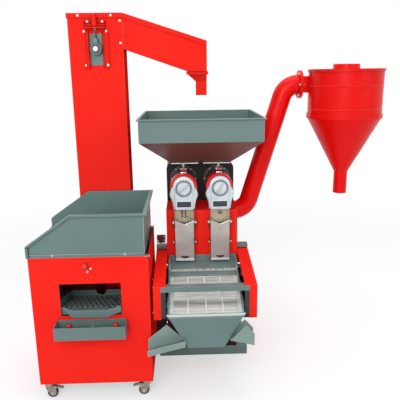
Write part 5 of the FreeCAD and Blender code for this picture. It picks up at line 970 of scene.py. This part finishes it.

# The sieve: a grey tray that falls towards the operator, with a pale patchy band across its feed plate,
#  bright wire cloth between pale dividers, and rivets along its rims.
dusted = Finish("dusted_enamel", (0.142, 0.222, 0.209), 0.4)
# A pale patchy band across the feed plate.
strip = dusted.times(dusted.part_of("Y", -0.124, -0.119), dusted.part_of("Y", -0.087, -0.094))
patchy = dusted.between(dusted.noise(120.0, 6.0), 0.4, 0.56)
haze = dusted.between(dusted.noise(25.0, 5.0), 0.45, 0.8, 0.0, 0.3)
edge = dusted.edges(0.0025)
grey = dusted.blend(haze, (0.14, 0.222, 0.214), (0.26, 0.33, 0.32))
grey = dusted.blend(edge, grey, (0.42, 0.55, 0.52))
grey = dusted.blend(dusted.times(strip, patchy), grey, (0.7, 0.74, 0.72))
rim = dusted.times(dusted.part_of("Y", -0.4105, -0.4115), dusted.part_of("Z", 0.439, 0.4405))
grey = dusted.blend(rim, grey, (0.62, 0.67, 0.63))
# Painted shade: the colour darkens where faces meet in a corner.
dusted.colour(dusted.shade_hollows(grey, 0.012, (0.04, 0.06, 0.058)))
dusted.rough(dusted.between(dusted.noise(60.0, 4.0), 0.3, 0.7, 0.32, 0.6))
dusted.bump(dusted.noise(420.0, 2.0), 0.0004, 0.35)
dusted.shader.inputs["Specular IOR Level"].default_value = grey_shine
dress(dusted.material, "sieve_tray")
# The troughs' enamel is a lighter copy of the grey, painted light on their shaded insides, and its pale
# rubbed edges are partly wear, partly painted highlight.
lit_trough_enamel = enamel("lit_trough_enamel", (0.25, 0.345, 0.325), (0.23, 0.32, 0.3), (0.6, 0.7, 0.68),
                       fold=0.003, shine=grey_shine)
dress(lit_trough_enamel, "sieve_side_chutes")
funnel_enamel = enamel("funnel_enamel", (0.148, 0.235, 0.228), (0.134, 0.216, 0.21),
                       (0.42, 0.55, 0.52), fold=0.003, shine=grey_shine)
dress(funnel_enamel, "sieve_funnel")
sieve_fall, sieve_back, sieve_back_z = 0.127 / 0.403, -0.012, 0.576


def on_sieve(y, down):
    """Height of the sieve's rim over a place along it, less a depth."""
    return sieve_back_z - (sieve_back - y) * sieve_fall - down


def sloped(bm, start, end, down, thick):
    """Flat strip that lies on the slope of the sieve between two corners."""
    block_at(bm, tilted(sieve_fall, on_sieve(0.0, down)),
             (start[0], end[1], 0.0), (end[0], start[1], thick))


worn_tape = cast("worn_tape", (0.86, 0.85, 0.78), 0.45)
dusted_tape = cast("dusted_tape", (0.66, 0.75, 0.71), 0.45)
cloth = Finish("sieve_cloth", (0.6, 0.6, 0.58), 0.4, 0.75)
rows = cloth.between(cloth.noise(26.0, 2.0, (0.25, 5.0, 5.0)), 0.35, 0.65)
cloth.colour(cloth.blend(rows, (0.52, 0.52, 0.5), (0.78, 0.79, 0.76)))
cloth.rough(cloth.between(cloth.noise(140.0, 4.0), 0.3, 0.7, 0.3, 0.5))
cloth.bump(cloth.noise(600.0, 3.0), 0.0002, 0.3)
wall_left, wall_right = -0.2535, 0.0795
cloth_back, cloth_front = -0.1125, -0.4125
bm = bmesh.new()
y = -0.1135
while y > -0.4115:
    z = on_sieve(y, 0.0125)
    bar(bm, (wall_left, y, z), (wall_right, y, z), 0.00105, 6)
    y -= 0.0029
for step in range(41):
    x = -0.2495 + step * 0.325 / 40
    ends = [(x, y, on_sieve(y, 0.0135)) for y in (cloth_back, cloth_front)]
    bar(bm, ends[0], ends[1], 0.0007, 6)
form("sieve_wires", bm, cloth.material, "sieve", ("sieve_mesh",))
divider_x = (-0.1655, -0.085, -0.0095)
bar_back, bar_front = -0.205, -0.305
tape_inner_left, tape_inner_right = -0.2315, 0.0585
bm = bmesh.new()
for x in divider_x:
    for start, end in ((-0.16, bar_back), (bar_front, cloth_front)):
        sloped(bm, (x - 0.0035, start), (x + 0.0035, end), 0.0098, 0.0018)
form("sieve_dividers", bm, worn_tape, "sieve")
bm = bmesh.new()
for x in divider_x:
    sloped(bm, (x - 0.0022, bar_back), (x + 0.0022, bar_front), 0.0102, 0.0014)
for start, end in (((wall_left, -0.158), (tape_inner_left, cloth_front)),
                   ((tape_inner_right, -0.158), (wall_right, cloth_front)),
                   ((tape_inner_left, -0.4), (tape_inner_right, cloth_front))):
    sloped(bm, start, end, 0.0104, 0.0012)
form("sieve_strips", bm, dusted_tape, "sieve")


def rivet(bm, dome, x, y, down):
    """Low rivet head on the slope of the sieve."""
    turned(bm, dome, (x, y, on_sieve(y, down)), (0, 0, 1), 10)


front_dome = [(0.0, 0.0015), (0.002, 0.0012), (0.003, 0.0)]
side_dome = [(0.0, 0.0013), (0.0016, 0.001), (0.0024, 0.0)]
back_dome = [(0.0, 0.0018), (0.0024, 0.0014), (0.0034, 0.0)]
bm = bmesh.new()
for step in range(12):
    rivet(bm, front_dome, -0.242 + step * 0.31 / 11, -0.4105, 0.009)
for step in range(9):
    for x in (-0.2515, 0.0775):
        rivet(bm, side_dome, x, -0.165 - step * 0.028, 0.0)
for step in range(8):
    rivet(bm, back_dome, -0.235 + step * 0.296 / 7, -0.112, 0.0115)
form("sieve_rivets", bm, zinc, "sieve")
bm = bmesh.new()
for out, x in ((-1, -0.256), (1, 0.082)):
    for y, z in ((-0.402, 0.4415), (-0.402, 0.4105), (-0.2, on_sieve(-0.2, 0.012))):
        hex_head(bm, (x, y, z), (out, 0, 0), 0.0042, 0.004)
form("sieve_screws", bm, zinc, "sieve")

# The bran pipe and the cyclone: rolled red tube and sheet with welded bends, joined by a pair
# of flanges with six bolts through them.
red_gloss = enamel("red_gloss", (0.9, 0.004, 0.003), (0.86, 0.003, 0.002), (1.0, 0.04, 0.03), 0.28, 0.002)
dress(red_gloss, "conveying_pipe", "cyclone_barrel", "cyclone_lid", "cyclone_cone")
pipe_y, pipe_z, pipe_bolts = 0.283, 1.407, 0.0615
bm = bmesh.new()
for step in range(6):
    turn = math.radians(60 * step)
    y, z = pipe_y + pipe_bolts * math.cos(turn), pipe_z + pipe_bolts * math.sin(turn)
    hex_head(bm, (0.438, y, z), (-1, 0, 0), 0.0052, 0.004)
    hex_head(bm, (0.454, y, z), (1, 0, 0), 0.0052, 0.004)
form("flange_screws", bm, zinc, "station")
